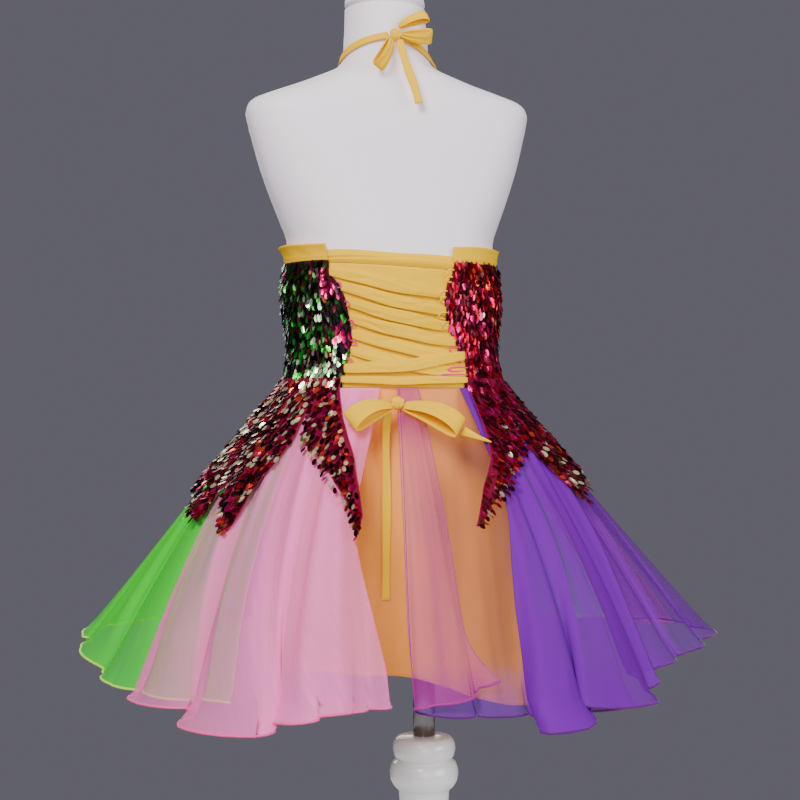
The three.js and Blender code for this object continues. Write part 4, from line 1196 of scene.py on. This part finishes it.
def make_back():
    """The yellow back panel, its rolled edge, thread loops and lace."""
    yellow = material_for("yellow_satin")
    count = 60
    top_angles = edge_columns(back_left, back_right, [FORM_TOP], count)
    tops = roll_top(top_angles) - ROLL_HEIGHT - BAND_GAP
    foot = WAIST_Z + WAIST_GAP
    z = foot + (tops - foot) * np.linspace(0, 1, 70)[:, None]
    lefts, rights = back_left(z) + EDGE_GAP, back_right(z) - EDGE_GAP
    u = np.linspace(0, 1, count)[None, :] * np.ones_like(z)
    angles = lefts + (rights - lefts) * u
    ripple = np.zeros_like(z)
    for middle, slope, depth, half, near in BACK_CREASES:
        ripple += depth * hump(z - slope * (u - 0.5) * 4, middle, half) * hump(u, near, 0.5)
    grid = body_point(z, angles, BODY_GAP + CLOTH_OUT + ripple * 0.8)
    panel = cloth("back_panel_cloth", grid, yellow, 0.8)
    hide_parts("back_panel")
    sewn = make_thread_loops()
    declare_sheet(grid)
    v = np.linspace(0, 1, 20)[:, None] * np.ones_like(top_angles)
    bulge = 0.7 + 3.4 * np.sin(math.pi * np.clip(v, 0.04, 0.96)) ** 0.8
    u = np.linspace(0, 1, count)[None, :]
    crease = -1.3 * hump(v, 0.34 + 0.12 * np.sin(u * 5), 0.14) * hump(u, 0.15, 0.4)
    crease = crease - 1.1 * hump(v, 0.6 - 0.1 * np.sin(u * 7), 0.12) * hump(u, 0.62, 0.45)
    crease = crease + 0.5 * hump(v, 0.75, 0.2) * hump(u, 0.85, 0.3)
    height = roll_top(top_angles) - ROLL_HEIGHT + v * ROLL_HEIGHT + 0.5 * np.sin(u * 9) * v
    roll_grid = body_point(height, top_angles, BODY_GAP + bulge + crease)
    roll = cloth("back_panel_roll_cloth", roll_grid, yellow, 1.0)
    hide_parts("back_panel_roll")
    declare_sheet(roll_grid)
    make_lace()


# Soft ridges along each stretch of lace: where across it, height, and where along it
LACE_RIDGES = [
    ((0.45, 0.6, 0.3, 0.5), (-0.3, 0.5, 0.8, 0.4)), ((0.2, 0.7, 0.6, 0.5), (-0.5, 0.4, 0.2, 0.3)),
    ((-0.1, 0.6, 0.4, 0.6), (0.5, 0.4, 0.85, 0.3)), ((0.4, 0.7, 0.25, 0.4), (-0.4, 0.5, 0.7, 0.4)),
    ((0.1, 0.6, 0.55, 0.5), (-0.55, 0.5, 0.3, 0.35)),
    ((0.5, 0.5, 0.7, 0.4), (-0.2, 0.6, 0.2, 0.4)),
    ((0.0, 0.6, 0.4, 0.6), (0.55, 0.4, 0.8, 0.3)), ((0.2, 0.4, 0.5, 0.5), (-0.4, 0.3, 0.3, 0.3)),
]


# Dark fold lines on each stretch: where across it, slant, where along it and how long
LACE_FOLDS = [
    ((-0.3, 0.9, 0.22, 0.2), (0.5, -0.8, 0.62, 0.22)),
    ((0.35, 1.0, 0.75, 0.2), (-0.1, 0.8, 0.35, 0.25)),
    ((0.2, 1.1, 0.7, 0.22), (-0.35, 0.7, 0.3, 0.2)),
    ((-0.2, -0.9, 0.2, 0.2), (0.3, 1.0, 0.72, 0.2)),
    ((0.4, 1.0, 0.3, 0.2), (-0.25, 0.9, 0.7, 0.22)),
    ((0.1, -1.1, 0.4, 0.22), (-0.3, 1.0, 0.8, 0.18)),
    ((0.3, 0.9, 0.6, 0.22), (-0.3, -0.8, 0.25, 0.2)),
    ((0.2, 0.8, 0.35, 0.22), (-0.1, -0.7, 0.72, 0.2)),
]


def make_lace():
    """The stretches of flat lace, which lie over one another."""
    for n, (z_left, z_right, width, under, sag) in enumerate(LACE_STRETCHES):
        first, last = back_left(z_left) + 1.2, back_right(z_right) - 1.2
        v = np.linspace(0, 1, 60)[:, None]
        turn = np.linspace(0, 2 * math.pi, 24, endpoint=False)[None, :]
        across, outer = np.cos(turn), np.sin(turn)
        on_top = outer > 0.05
        middle = np.sin(math.pi * v)
        seat = BODY_GAP + BODICE_WALL + 0.5 + under * 2.2
        narrow = 0.66 + 0.34 * middle**0.6
        ridge = sum(height * hump(across, where, 0.4) * hump(v, place, reach)
                    for where, height, place, reach in LACE_RIDGES[n])
        lift = 0.85 + np.sign(outer) * np.abs(outer) ** 0.55 * 0.75 + ridge * 1.3 * on_top
        for where, slant, place, reach in LACE_FOLDS[n]:
            line = where + slant * (v - place) / reach
            lift = lift - 1.1 * hump(across, line, 0.28) * hump(v, place, reach) * on_top
        # The lower edge of each stretch lies over the upper edge of the next, like shingles
        shingle = 1.3 * (0.5 - 0.5 * across) + 0.3
        lift = lift + shingle * middle**0.7 * on_top
        z = z_left + (z_right - z_left) * v + sag * middle + across * width / 2 * narrow
        z = z + 0.6 * np.sin(v * 9 + n) * middle
        grid = body_point(z, first + (last - first) * v, seat + lift)
        yellow_band(f"lace_{n + 1}", grid)


# Thread loops at the back panel's edges: height, reach in degrees and drop of each
RIGHT_LOOPS = [
    (748, -5.5, -7), (741, -4.5, -5), (727, -6, -7), (721, -4, -5), (706, -6.5, -6), (697, -5, -7),
]
PINK_LOOPS = [(672, -8, -5), (662, -9, 4), (652, -14, -3), (645, -22, -4), (664, -5, -6)]
LEFT_LOOPS = [
    (735, 3, -5), (716, 3, -4), (698, 3.5, -5), (678, 4, -4), (660, 4, -3), (642, 6, -2),
]


def loop_path(edge, height, reach, drop):
    """The path of one thread loop at an edge of the panel."""
    t = np.linspace(0, 1, 16)
    out = BODY_GAP + BODICE_WALL + 1.6 + 1.8 * np.sin(math.pi * t)
    angle = edge(height) + reach * np.sin(math.pi * t * 0.94)
    return body_point(height + drop * t + 1.3 * np.sin(2 * math.pi * t), angle, out)


def make_thread_loops():
    """Plain loops at the right edge and pink ones at both."""
    pale = trim_material("pale_thread", srgb(255, 205, 30))
    pink = trim_material("pink_thread", srgb(250, 25, 125))
    plain = [loop_path(back_right, *row) for row in RIGHT_LOOPS]
    rosy = [loop_path(back_right, *row) for row in PINK_LOOPS]
    rosy += [loop_path(back_left, *row) for row in LEFT_LOOPS]
    return [threads("right_thread_loops", plain, THREAD, pale, "yellow_satin"),
            threads("pink_thread_loops", rosy, THREAD, pink, "yellow_satin")]


# The skirt


# Creases of each half of the underskirt: angle, depth and half width
UNDERSKIRT_CREASES = [
    (-70, 1.6, 6), (-47, -1.8, 5), (-33, 1.5, 4), (-21, -1.6, 4), (-3, 1.7, 5), (14, -1.7, 5),
    (27, 1.6, 4), (43, -1.8, 6), (66, 1.5, 5), (81, -1.5, 4),
]


def make_underskirt():
    """Both halves of the satin underskirt, with soft creases."""
    halves = {"underskirt_back": (-90, 90), "underskirt_front": (90, 270)}
    for node, (left, right) in halves.items():
        angle = np.linspace(left + EDGE_GAP, right - EDGE_GAP, 180)[None, :]
        share = np.linspace(0, 1, 80)[:, None]
        drop = WAIST_GAP + (smooth_from(UNDERSKIRT_HEM, angle) - WAIST_GAP) * share
        angle = angle * np.ones_like(drop)
        fine = np.zeros_like(drop)
        for place, depth, half in UNDERSKIRT_CREASES:
            at = place if node == "underskirt_back" else 180 - place
            slanted = angle + (drop - 140) * 0.02 * np.sign(depth)
            fine += depth * hump(slanted, at, half) * drop / FULL_DROP
        radius = underskirt_radius(angle, drop) + CLOTH_OUT + fine * 0.6
        grid = point_round(WAIST_Z - drop, angle, radius)
        piece = cloth(node + "_cloth", grid, material_for("peach_satin"),
                      THIN_CLOTH)
        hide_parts(node)
        declare_sheet(grid)


# Where a hem doubles back on itself: hem angle, half width, how far it stands out, and its swing
HEM_CURLS = {
    "organza_green_left": [(-84, 5, 3, 1.6), (-66, 4, 3, 1.3), (-100, 5, 3, 1.5)],
    "organza_pink_left": [
        (-50, 4.5, 3, 1.8), (-38, 5, 4, 2.1), (-25.5, 4.5, 4, 2.0), (-13.5, 4, 5, 1.9),
    ],
    "organza_mauve_back": [(2.5, 4.5, 2, 1.2)],
    "organza_purple_right": [(18.5, 4, 3, 1.7), (31, 5, 3, 1.9), (40, 3.5, 2, 1.2)],
    "organza_purple_side": [(50, 5, 3, 1.6), (66, 5, 3, 1.7), (84, 6, 3, 1.6), (103, 6, 3, 1.6)],
    "organza_pink_front": [(116, 6, 3, 1.7), (132, 6, 3, 1.7), (150, 6, 3, 1.7)],
    "organza_green_front": [(130, 6, 3, 1.6), (152, 6, 3, 1.7), (171, 6, 3, 1.6)],
    "organza_mauve_front": [(178, 6, 3, 1.7), (194, 6, 3, 1.7)],
    "organza_purple_front": [(197, 6, 3, 1.6), (217, 6, 3, 1.7)],
}


def organza_grid(name):
    """The points of a panel, with the drop and the hem angle of each."""
    layer, edges, hem = ORGANZA[name]
    columns = int((edges[-1][2] - edges[-1][1]) / 0.62)
    u = np.linspace(0, 1, columns)[None, :]
    hem_places = np.linspace(0, 1, len(hem))
    ends = curve_at(hem_places, hem, u)
    drop = WAIST_GAP + (ends - WAIST_GAP) * np.linspace(0, 1, 64)[:, None]
    left, right = smooth_from(edges, drop), smooth_from(edges, drop, 2)
    hem_angle = left + (right - left) * u
    angle = leaned(hem_angle, drop)
    fall = np.clip(drop / FULL_DROP, 0, 1.1)
    own = np.sin(np.radians(hem_angle * 23 + layer * 70)) * 0.5
    own = own + np.sin(np.radians(hem_angle * 41)) * 0.35
    flip = 2.2 * np.clip((drop / ends - 0.93) / 0.07, 0, 1) ** 2
    out = layer_out(layer, drop) + SKIRT_WALL / 2 + own * fall * 1.3 + flip
    swing = np.zeros_like(out)
    near_hem = np.clip((drop / ends - 0.62) / 0.38, 0, 1) ** 2
    for place, half, reach, twist in HEM_CURLS.get(name, ()):
        away = np.clip((hem_angle - place) / half, -1, 1)
        out = out + reach * np.cos(away * math.pi / 2) ** 2 * near_hem
        swing = swing + twist * np.sin(math.pi * away) * near_hem
    return skirt_point(angle + swing, drop, out, fine=1.0), drop, hem_angle


# How full each panel looks by hem angle, where several layers of it lie on one another
FULLNESS = {
    "organza_pink_left": [
        (-58, 0.72), (-46, 0.75), (-45, 0.92), (-34, 0.95), (-32.5, 1.4), (-20, 1.35), (-18, 1),
        (-8, 0.95),
    ],
    "organza_purple_right": [(13, 1.35), (26, 1.35), (28, 1.05), (44, 1)],
    "organza_purple_side": [(36, 1), (53, 1), (56, 0.62), (118, 0.62)],
}
# Hem angles at which a fold lies flat on the panel, which shows as a lighter line
FOLD_LINES = [
    -57, -50.5, -45.5, -41, -34, -31, -27.5, -23, -19, -13, -10.5, -5.5, 0.5, 5, 16, 21, 26.5, 31,
    38, 46, 54,
]


def organza_fullness(name, grid, drop, hem_angle):
    """Cloth looks fuller where a fold turns edge on, at the gathers and along the hem."""
    down = np.gradient(grid, axis=0)
    around = np.gradient(grid, axis=1)
    normal = unit(np.cross(down, around))
    away = grid - point_round(grid[..., 2], 0, 0)
    away[..., 2] = 0
    facing = np.abs((normal * unit(away)).sum(axis=-1))
    lean = np.clip((0.82 - facing) / 0.5, 0, 1)
    fullness = 0.86 + 0.6 * lean + 0.25 * np.exp(-drop / 45)
    if name in FULLNESS:
        fullness = fullness * straight_from(FULLNESS[name], hem_angle)
    for place in FOLD_LINES:
        fullness = fullness + 0.22 * hump(hem_angle, place, 0.55) * np.clip(drop / 90, 0, 1)
    if name == "organza_purple_back":
        # A thin single layer over the satin, doubled only near its hem
        fullness = fullness * (0.12 + 0.6 * np.clip((drop - 240) / 25, 0, 1))
    return np.clip(fullness, 0.1, 1.7)


def make_organza():
    """The sheer panels, each with its rolled hem and side hems."""
    colours = bpy.context.scene.dress_colours
    radius = bpy.context.scene.dress_sizes.hem_cord / MM / 2
    for node in ORGANZA:
        colour = node.split("_")[1]
        slot = colour + "_organza"
        trim = trim_material(colour + "_hem", getattr(colours, colour + "_hem"))
        grid, drop, hem_angle = organza_grid(node)
        piece = cloth(node + "_cloth", grid, material_for(slot), 0)
        fullness = organza_fullness(node, grid, drop, hem_angle).ravel().astype(np.float32)
        values = piece.data.attributes.new("cloth_fullness", "FLOAT", "POINT")
        values.data.foreach_set("value", fullness)
        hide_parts(node)
        hem = threads(node + "_rolled_hem", [grid[-1]], radius, trim, slot)
        sides = threads(node + "_side_hems", [grid[::2, 0], grid[::2, -1]], radius * 0.3, trim,
                        slot)
        declare_sheet(grid)


def point_place(drop, angle, out):
    """A place on a point, which lies on the skirt and rises over the bodice's foot."""
    rise = np.clip(-np.asarray(drop, float), 0, None) / POINT_RISE
    seat = layer_out(3, drop) * (1 - rise) + (BODY_GAP + BODICE_WALL + 0.7) * rise
    return skirt_point(angle, drop, seat + out, fine=0.6)


def make_points():
    """The sequined points round the waist."""
    trim = trim_material("point_thread", srgb(150, 10, 60))
    for seed, (node, edges) in enumerate(POINTS.items(), start=31):
        tip = edges[-1][0]
        drop = (-POINT_RISE + (tip + POINT_RISE) * np.linspace(0, 1, 60))[:, None]
        left, right = straight_from(edges, drop), straight_from(edges, drop, 2)
        angle = left + (right - left) * np.linspace(0, 1, 36)[None, :]
        grid = point_place(drop, angle, 1.0)
        piece = cloth(node + "_mesh", grid, material_for("sequin_pink"),
                      THIN_CLOTH)
        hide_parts(node)
        mix = LEFT_POINT_MIX if "left" in node and "front" not in node else RIGHT_POINT_MIX
        hung = sequins(
            node + "_sequins", lambda d, e=edges: (straight_from(e, d), straight_from(e, d, 2)),
            point_place, -POINT_RISE + 1, tip - 1, mix, seed, 1.6,
        )
        edge = threads(node + "_edge_thread", [grid[:, 0], grid[:, -1]], EDGE_THREAD, trim,
                       "sequin_pink")
        declare_sheet(grid)


# Bows, ties and straps


def bow_loop_path(start, end, face, across, spread, bulge, stagger):
    """Out from the knot along one leg of a loop and back along the other."""
    t = np.linspace(0, 1, 48)[:, None]
    reach = np.sin(math.pi * t)
    apart = np.cos(math.pi * t) * (1.3 + spread * reach)
    path = start + (end - start) * reach
    path = path + face * (apart + bulge * np.sin(math.pi * reach))
    return path + across * stagger * (t - 0.5) * reach


def tilted(vector, along, tilt):
    """A direction square to a line, turned about that line."""
    turn = -math.radians(tilt)
    return vector * math.cos(turn) + np.cross(along, vector) * math.sin(turn)


def make_loop(node, start, end, shape):
    """One loop of a bow, gathered at its knot."""
    width, spread, bulge, stagger, tilt = shape
    start, end = np.asarray(start, float), np.asarray(end, float)
    along = unit(end - start)
    level = unit(np.cross(along, [0, 1, 0]))
    across = tilted(level, along, tilt)
    face = tilted(unit(np.cross(level, along)), along, tilt)
    path = bow_loop_path(start, end, face, across, spread, bulge, stagger)
    v = np.linspace(0, 1, len(path))
    widths = width * (0.42 + 0.58 * np.sin(math.pi * v) ** 0.7)

    def creases(place, v):
        pleat = 0.8 * np.cos(place * 7.5) * np.exp(-((np.minimum(v, 1 - v) / 0.24) ** 2))
        soft = 0.7 * hump(place, 0.3, 0.4) * hump(v, 0.3, 0.25)
        return pleat + soft - 0.5 * hump(place, -0.35, 0.3) * hump(v, 0.36, 0.22)

    grid = band_rings(path, across, widths, LOOP_WALL, creases, sides=24)
    yellow_band(node, grid)


def make_knot(node, centre, size):
    """A knot: a sphere pulled into wrapped folds."""
    deselect()
    centre, size = np.asarray(centre, float), np.asarray(size, float)
    bpy.ops.mesh.primitive_uv_sphere_add(segments=48, ring_count=28, radius=1, location=(0, 0, 0))
    piece = bpy.context.active_object
    piece.name = node + "_cloth"
    count = len(piece.data.vertices)
    flat = np.empty(count * 3)
    piece.data.vertices.foreach_get("co", flat)
    points = flat.reshape(-1, 3)
    x, z = points[:, 0], points[:, 2]
    wrap = 0.07 * np.cos(x * 8 + z * 1.6) + 0.05 * np.cos(x * 15 - z * 2)
    waist = 1 - 0.12 * hump(z, 0, 0.4) * (np.abs(x) > 0.5)
    points = points * (0.93 + wrap * (1 - np.abs(z) * 0.5))[:, None] * waist[:, None]
    points = (centre + points * size) * MM
    piece.data.vertices.foreach_set("co", points.ravel())
    piece.data.update()
    bpy.ops.object.shade_smooth()
    piece.data.materials.append(material_for("yellow_satin"))
    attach(piece, "root")
    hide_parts(node)
    deselect()
    return piece


WAIST_CENTRE = skirt_point(-5.5, 15, 14.5)
NECK_HEIGHT = 984.5
NECK_AXIS = point_round(NECK_HEIGHT, 0, 0)[0]
# Half widths, half depths and half heights of the knots
WAIST_KNOT = (7.5, 5.5, 7)
NECK_KNOT = (6.2, 5, 6.5)
# Each bow loop's end, and its width, opening, bulge, stagger and tilt
WAIST_LOOPS = {
    "waist_loop_left": (skirt_point(-27.5, 33, 25), (23, 11, 5, -5, -40)),
    "waist_loop_right": (skirt_point(23, 38.5, 24), (24, 11, 5, 5, 40)),
}
# The same at the neck, with each loop's start, from the neck's middle line
NECK_LOOPS = {
    "neck_loop_upper": ([-7.5, 47, 992.2], [-36, 48, 1003], (11.5, 6.5, 2, 0, 30)),
    "neck_loop_lower": ([-10.6, 47, 984], [-40, 49, 983], (14, 8, 2, -3, -35)),
    "neck_loop_left": ([1.1, 48.1, 979.6], [15, 54.5, 950], (14, 6, 2, 0, 35)),
}
# Top and end of the neck tail, from the neck's middle line
NECK_TAIL = ([-7.8, 48.6, 978.4], [-25, 61.5, 914])


def make_tie_tails():
    """The three free ends of the ties, each a flat cord that hangs."""
    middle = point_round(WAIST_CENTRE[2], 0, 0)
    reach = math.hypot(WAIST_CENTRE[0] - middle[0], WAIST_CENTRE[1]) - 1
    drops, angles = column(LONG_TAIL, 0), column(LONG_TAIL, 1)
    lying = underskirt_radius(angles, drops) + SKIRT_WALL + 1.6
    path = smooth_path(point_round(WAIST_Z - drops, angles, np.maximum(lying, reach)), 36)
    make_tail("waist_tail_long", path, 1.6)
    start, end = (np.array([NECK_AXIS, 0, 0]) + place for place in NECK_TAIL)
    path = start + (end - start) * np.linspace(0, 1, 24)[:, None]
    path[:, 0] += 0.8 * np.sin(np.linspace(0, 6, 24))
    make_tail("neck_tail", path, 2.6)
    t = np.linspace(0, 1, 20)
    path = skirt_point(26 + 10.5 * t, 41.5 + 11 * t, 15.4 - 1.2 * t)
    widths = 10 + (1.6 - 10) * t**0.8
    grid = band_rings(path, [0, 0, 1], widths, 1.6, sides=20)
    yellow_band("waist_tail_short", grid)


def make_tail(node, path, thickness):
    """A flat tie that hangs along a path, narrower at its knot."""
    def pressed(across, along):
        dent = hump(along, 0.4, 0.2) * hump(across, -0.5, 0.4)
        return 0.3 * hump(across, 0.1, 0.5) + 0.25 * dent

    v = np.linspace(0, 1, len(path))
    widths = TIE_WIDTH * (0.9 + 0.1 * np.cos(v * 11)) * (1 - 0.25 * np.exp(-((v / 0.06) ** 2)))
    grid = band_rings(path, [1, 0, 0], widths, thickness, pressed)
    piece = tube(node + "_cloth", grid, material_for("yellow_satin"))
    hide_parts(node)


def make_waist_bow():
    """The knot and the two loops at the waist."""
    make_knot("waist_knot", WAIST_CENTRE, WAIST_KNOT)
    for node, (end, shape) in WAIST_LOOPS.items():
        start = WAIST_CENTRE + unit(end - WAIST_CENTRE) * 8
        make_loop(node, start, end, shape)


def make_strap(node, rows):
    """A narrow strap that lies on the form."""
    spots = smooth_path(rows, 80)
    path = body_point(spots[:, 0], spots[:, 1], 0)
    normal = body_normal(spots[:, 0], spots[:, 1])
    normal *= np.sign((normal * (path - point_round(path[:, 2], 0, 0))).sum(axis=1, keepdims=True))
    path = path + normal * 2.2
    wide = np.cross(normal, np.gradient(path, axis=0))

    def seam(across, _):
        return 0.2 * hump(across, 0.5, 0.3) - 0.2 * hump(across, 0.1, 0.2)

    grid = band_rings(path, wide, STRAP_WIDTH, 1.8, seam)
    yellow_band(node, grid)


def make_halter():
    """Both neck straps, with their knot and loops."""
    make_strap("halter_strap_left", STRAP_LEFT)
    make_strap("halter_strap_right", STRAP_RIGHT)
    make_knot("neck_knot", np.array([NECK_AXIS - 3.9, 46.7, NECK_HEIGHT]), NECK_KNOT)
    axis = np.array([NECK_AXIS, 0, 0])
    for node, (start, end, shape) in NECK_LOOPS.items():
        make_loop(node, axis + start, axis + end, shape)


# The stage


# Where the lights aim and the camera looks
DRESS_CENTRE = (0.03, 0, 0.62)
PHOTO_CENTRE = (0.0245, -0.0034, 0.620)
FLOOR_RADIUS = 0.74
# Each light's place, size, share of the power and colour
LIGHTS = {
    "key_light": ((1.2, 1.9, 2.3), 1.1, 1.15, (1, 0.98, 0.96)),
    "fill_light": ((-1.9, 1.7, 1.2), 1.5, 0.62, (0.96, 0.97, 1)),
    "front_light": ((0.3, 2.6, 0.9), 1.6, 0.3, (1, 1, 1)),
    "far_light": ((0.2, -2.2, 1.6), 1.6, 0.4, (1, 1, 1)),
}


def area_light(name, place, size, power, colour):
    """A soft square light that aims at the dress."""
    light = bpy.data.lights.new(name, "AREA")
    light.size = size
    light.energy = power
    light.color = colour
    lamp = bpy.data.objects.new(name, light)
    aim = np.array(DRESS_CENTRE) - place
    flat = math.hypot(aim[0], aim[1])
    lamp.location = place
    lamp.rotation_euler = (math.atan2(flat, -aim[2]), 0, math.atan2(aim[1], aim[0]) - math.pi / 2)
    bpy.context.collection.objects.link(lamp)


def make_stage():
    """The pale floor, the camera, the backdrop and the lights."""
    stage = bpy.context.scene.dress_stage
    bpy.ops.mesh.primitive_circle_add(vertices=96, radius=FLOOR_RADIUS, fill_type="NGON",
                                      location=(0, 0, -0.0012))
    floor = bpy.context.active_object
    floor.name = "pale_floor"
    bpy.ops.object.transform_apply(location=True)
    paint = Finish("floor_paint", 0.6)
    paint.dye((0.72, 0.71, 0.72), 3.0, 0.04)
    floor.data.materials.append(paint.material)
    camera_data = bpy.data.cameras.new("photo_camera")
    camera_data.sensor_width = 36
    camera_data.lens = stage.lens
    camera = bpy.data.objects.new("photo_camera", camera_data)
    turn = stage.azimuth
    back = np.array([math.sin(turn), -math.cos(turn), 0])
    camera.location = PHOTO_CENTRE + back * stage.distance
    camera.rotation_euler = (math.pi / 2, 0, turn)
    bpy.context.collection.objects.link(camera)
    bpy.context.scene.camera = camera
    world = bpy.data.worlds.new("studio")
    world.use_nodes = True
    backdrop = world.node_tree.nodes["Background"]
    backdrop.inputs["Color"].default_value = (*stage.backdrop, 1)
    backdrop.inputs["Strength"].default_value = 1
    bpy.context.scene.world = world
    for name, (place, size, share, colour) in LIGHTS.items():
        area_light(name, place, size, stage.light_power * share, colour)


# The add-on


class DressColours(bpy.types.PropertyGroup):
    """Colours of the cloth and the form"""


class DressSizes(bpy.types.PropertyGroup):
    """Sizes of the small things on the dress"""

    sequin_length: FloatProperty(
        name="Sequin length", description="Long side of an oval sequin",
        default=0.0084, unit="LENGTH")
    sequin_width: FloatProperty(
        name="Sequin width", description="Short side of an oval sequin",
        default=0.0045, unit="LENGTH")
    sequin_pitch: FloatProperty(
        name="Sequin pitch", description="Distance from one sequin to the next on its string",
        default=0.0052, unit="LENGTH")
    string_spacing: FloatProperty(
        name="String spacing", description="Distance between two strings of sequins",
        default=0.0037, unit="LENGTH")
    hem_cord: FloatProperty(
        name="Hem cord", description="Thickness of the rolled hem of the organza",
        default=0.0022, unit="LENGTH")
    cover: FloatProperty(
        name="Organza cover", description="How much one layer of organza hides",
        default=0.5, min=0, max=1, subtype="FACTOR")


class DressStage(bpy.types.PropertyGroup):
    """Camera, light and backdrop"""

    azimuth: FloatProperty(
        name="Azimuth", description="Direction that the camera looks from",
        default=math.radians(172), subtype="ANGLE")
    distance: FloatProperty(
        name="Distance", description="Camera distance", default=1.59, unit="LENGTH")
    lens: FloatProperty(name="Lens", description="Focal length in millimetres", default=69.48)
    light_power: FloatProperty(
        name="Light", description="Power that the lights share", default=74.0, unit="POWER")
    backdrop: FloatVectorProperty(
        name="Backdrop", description="Colour behind the dress",
        default=(0.125, 0.120, 0.148), subtype="COLOR")


CLOTH_COLOURS = {
    "form": ("Form", "Cover of the form", (252, 240, 250)),
    "yellow": ("Yellow", "Jersey of the back panel, laces and ties", (250, 196, 0)),
    "peach": ("Peach", "Satin of the underskirt", (252, 158, 66)),
    "green": ("Green", "Green organza", (45, 210, 30)),
    "pink": ("Pink", "Pink organza", (255, 128, 196)),
    "mauve": ("Mauve", "Mauve organza", (190, 50, 150)),
    "purple": ("Purple", "Purple organza", (108, 6, 156)),
    "green_hem": ("Green hem", "Cord in the green hem", (190, 240, 60)),
    "pink_hem": ("Pink hem", "Cord in the pink hem", (250, 80, 160)),
    "mauve_hem": ("Mauve hem", "Cord in the mauve hem", (165, 30, 140)),
    "purple_hem": ("Purple hem", "Cord in the purple hem", (92, 5, 115)),
}
for key, (label, text, value) in CLOTH_COLOURS.items():
    DressColours.__annotations__[key] = FloatVectorProperty(
        name=label, description=text, default=srgb(*value), subtype="COLOR", min=0, max=1)


class DRESS_OT_stage(bpy.types.Operator):
    """Make the floor, the lights and the camera"""

    bl_idname = "dress.stage"
    bl_label = "Stage"

    def execute(self, context):
        return finished(self, make_stage, "pale_floor")


class DRESS_OT_tails(bpy.types.Operator):
    """Make the free ends of the ties"""

    bl_idname = "dress.tails"
    bl_label = "Tie tails"

    def execute(self, context):
        return finished(self, make_tie_tails, "waist_tail_long_cloth")


class DRESS_OT_form(bpy.types.Operator):
    """Make the limbless form and its neck cap"""

    bl_idname = "dress.form"
    bl_label = "Form"

    def execute(self, context):
        return finished(self, make_form, "form_cover")


class DRESS_OT_stand(bpy.types.Operator):
    """Make the pole, the turned post and the base"""

    bl_idname = "dress.stand"
    bl_label = "Stand"

    def execute(self, context):
        return finished(self, make_stand, "turned_post")


class DRESS_OT_bodice(bpy.types.Operator):
    """Make the sequined bodice and its top bands"""

    bl_idname = "dress.bodice"
    bl_label = "Bodice"

    def execute(self, context):
        return finished(self, make_bodice, "bodice_front_mesh")


class DRESS_OT_back(bpy.types.Operator):
    """Make the yellow back panel with its lace"""

    bl_idname = "dress.back"
    bl_label = "Laced back"

    def execute(self, context):
        return finished(self, make_back, "lace_1_cloth")


class DRESS_OT_underskirt(bpy.types.Operator):
    """Make the satin underskirt"""

    bl_idname = "dress.underskirt"
    bl_label = "Underskirt"

    def execute(self, context):
        return finished(self, make_underskirt, "underskirt_back_cloth")


class DRESS_OT_organza(bpy.types.Operator):
    """Make the sheer panels and their rolled hems"""

    bl_idname = "dress.organza"
    bl_label = "Organza"

    def execute(self, context):
        return finished(self, make_organza, "organza_pink_left_cloth")


class DRESS_OT_points(bpy.types.Operator):
    """Make the sequined points over the skirt"""

    bl_idname = "dress.points"
    bl_label = "Points"

    def execute(self, context):
        return finished(self, make_points, "point_left_back_mesh")


class DRESS_OT_waist_bow(bpy.types.Operator):
    """Make the bow at the waist"""

    bl_idname = "dress.waist_bow"
    bl_label = "Waist bow"

    def execute(self, context):
        return finished(self, make_waist_bow, "waist_knot_cloth")


class DRESS_OT_halter(bpy.types.Operator):
    """Make the neck straps and their bow"""

    bl_idname = "dress.halter"
    bl_label = "Halter"

    def execute(self, context):
        return finished(self, make_halter, "neck_knot_cloth")


def finished(operator, make, expected):
    """Runs a step, and stops the script if the piece that it should leave isn't there."""
    make()
    if expected not in bpy.data.objects:
        raise RuntimeError(f"{operator.bl_label} left no {expected}")
    return {"FINISHED"}


STEPS = ("stage", "tails", "form", "stand", "bodice", "back", "underskirt", "organza", "points",
         "waist_bow", "halter")


class DRESS_PT_panel(bpy.types.Panel):
    """The steps of the dress, in order"""

    bl_label = "Sequin tutu dress"
    bl_idname = "DRESS_PT_panel"
    bl_space_type = "VIEW_3D"
    bl_region_type = "UI"
    bl_category = "Dress"

    def draw(self, context):
        scene = context.scene
        for group in (scene.dress_colours, scene.dress_sizes, scene.dress_stage):
            for key in group.__annotations__:
                self.layout.prop(group, key)
        for step in STEPS:
            self.layout.operator(f"dress.{step}")


CLASSES = (
    DressColours, DressSizes, DressStage, DRESS_OT_stage, DRESS_OT_tails, DRESS_OT_form,
    DRESS_OT_stand, DRESS_OT_bodice, DRESS_OT_back, DRESS_OT_underskirt, DRESS_OT_organza,
    DRESS_OT_points, DRESS_OT_waist_bow, DRESS_OT_halter, DRESS_PT_panel,
)


def register():
    """Adds the classes and the scene's properties."""
    for cls in CLASSES:
        bpy.utils.register_class(cls)
    bpy.types.Scene.dress_colours = PointerProperty(type=DressColours)
    bpy.types.Scene.dress_sizes = PointerProperty(type=DressSizes)
    bpy.types.Scene.dress_stage = PointerProperty(type=DressStage)


def unregister():
    """Takes them away again."""
    del bpy.types.Scene.dress_stage
    del bpy.types.Scene.dress_sizes
    del bpy.types.Scene.dress_colours
    for cls in reversed(CLASSES):
        bpy.utils.unregister_class(cls)


def main():
    """Makes the dress step by step."""
    register()
    for step in STEPS:
        getattr(bpy.ops.dress, step)()


if __name__ == "__main__":
    main()
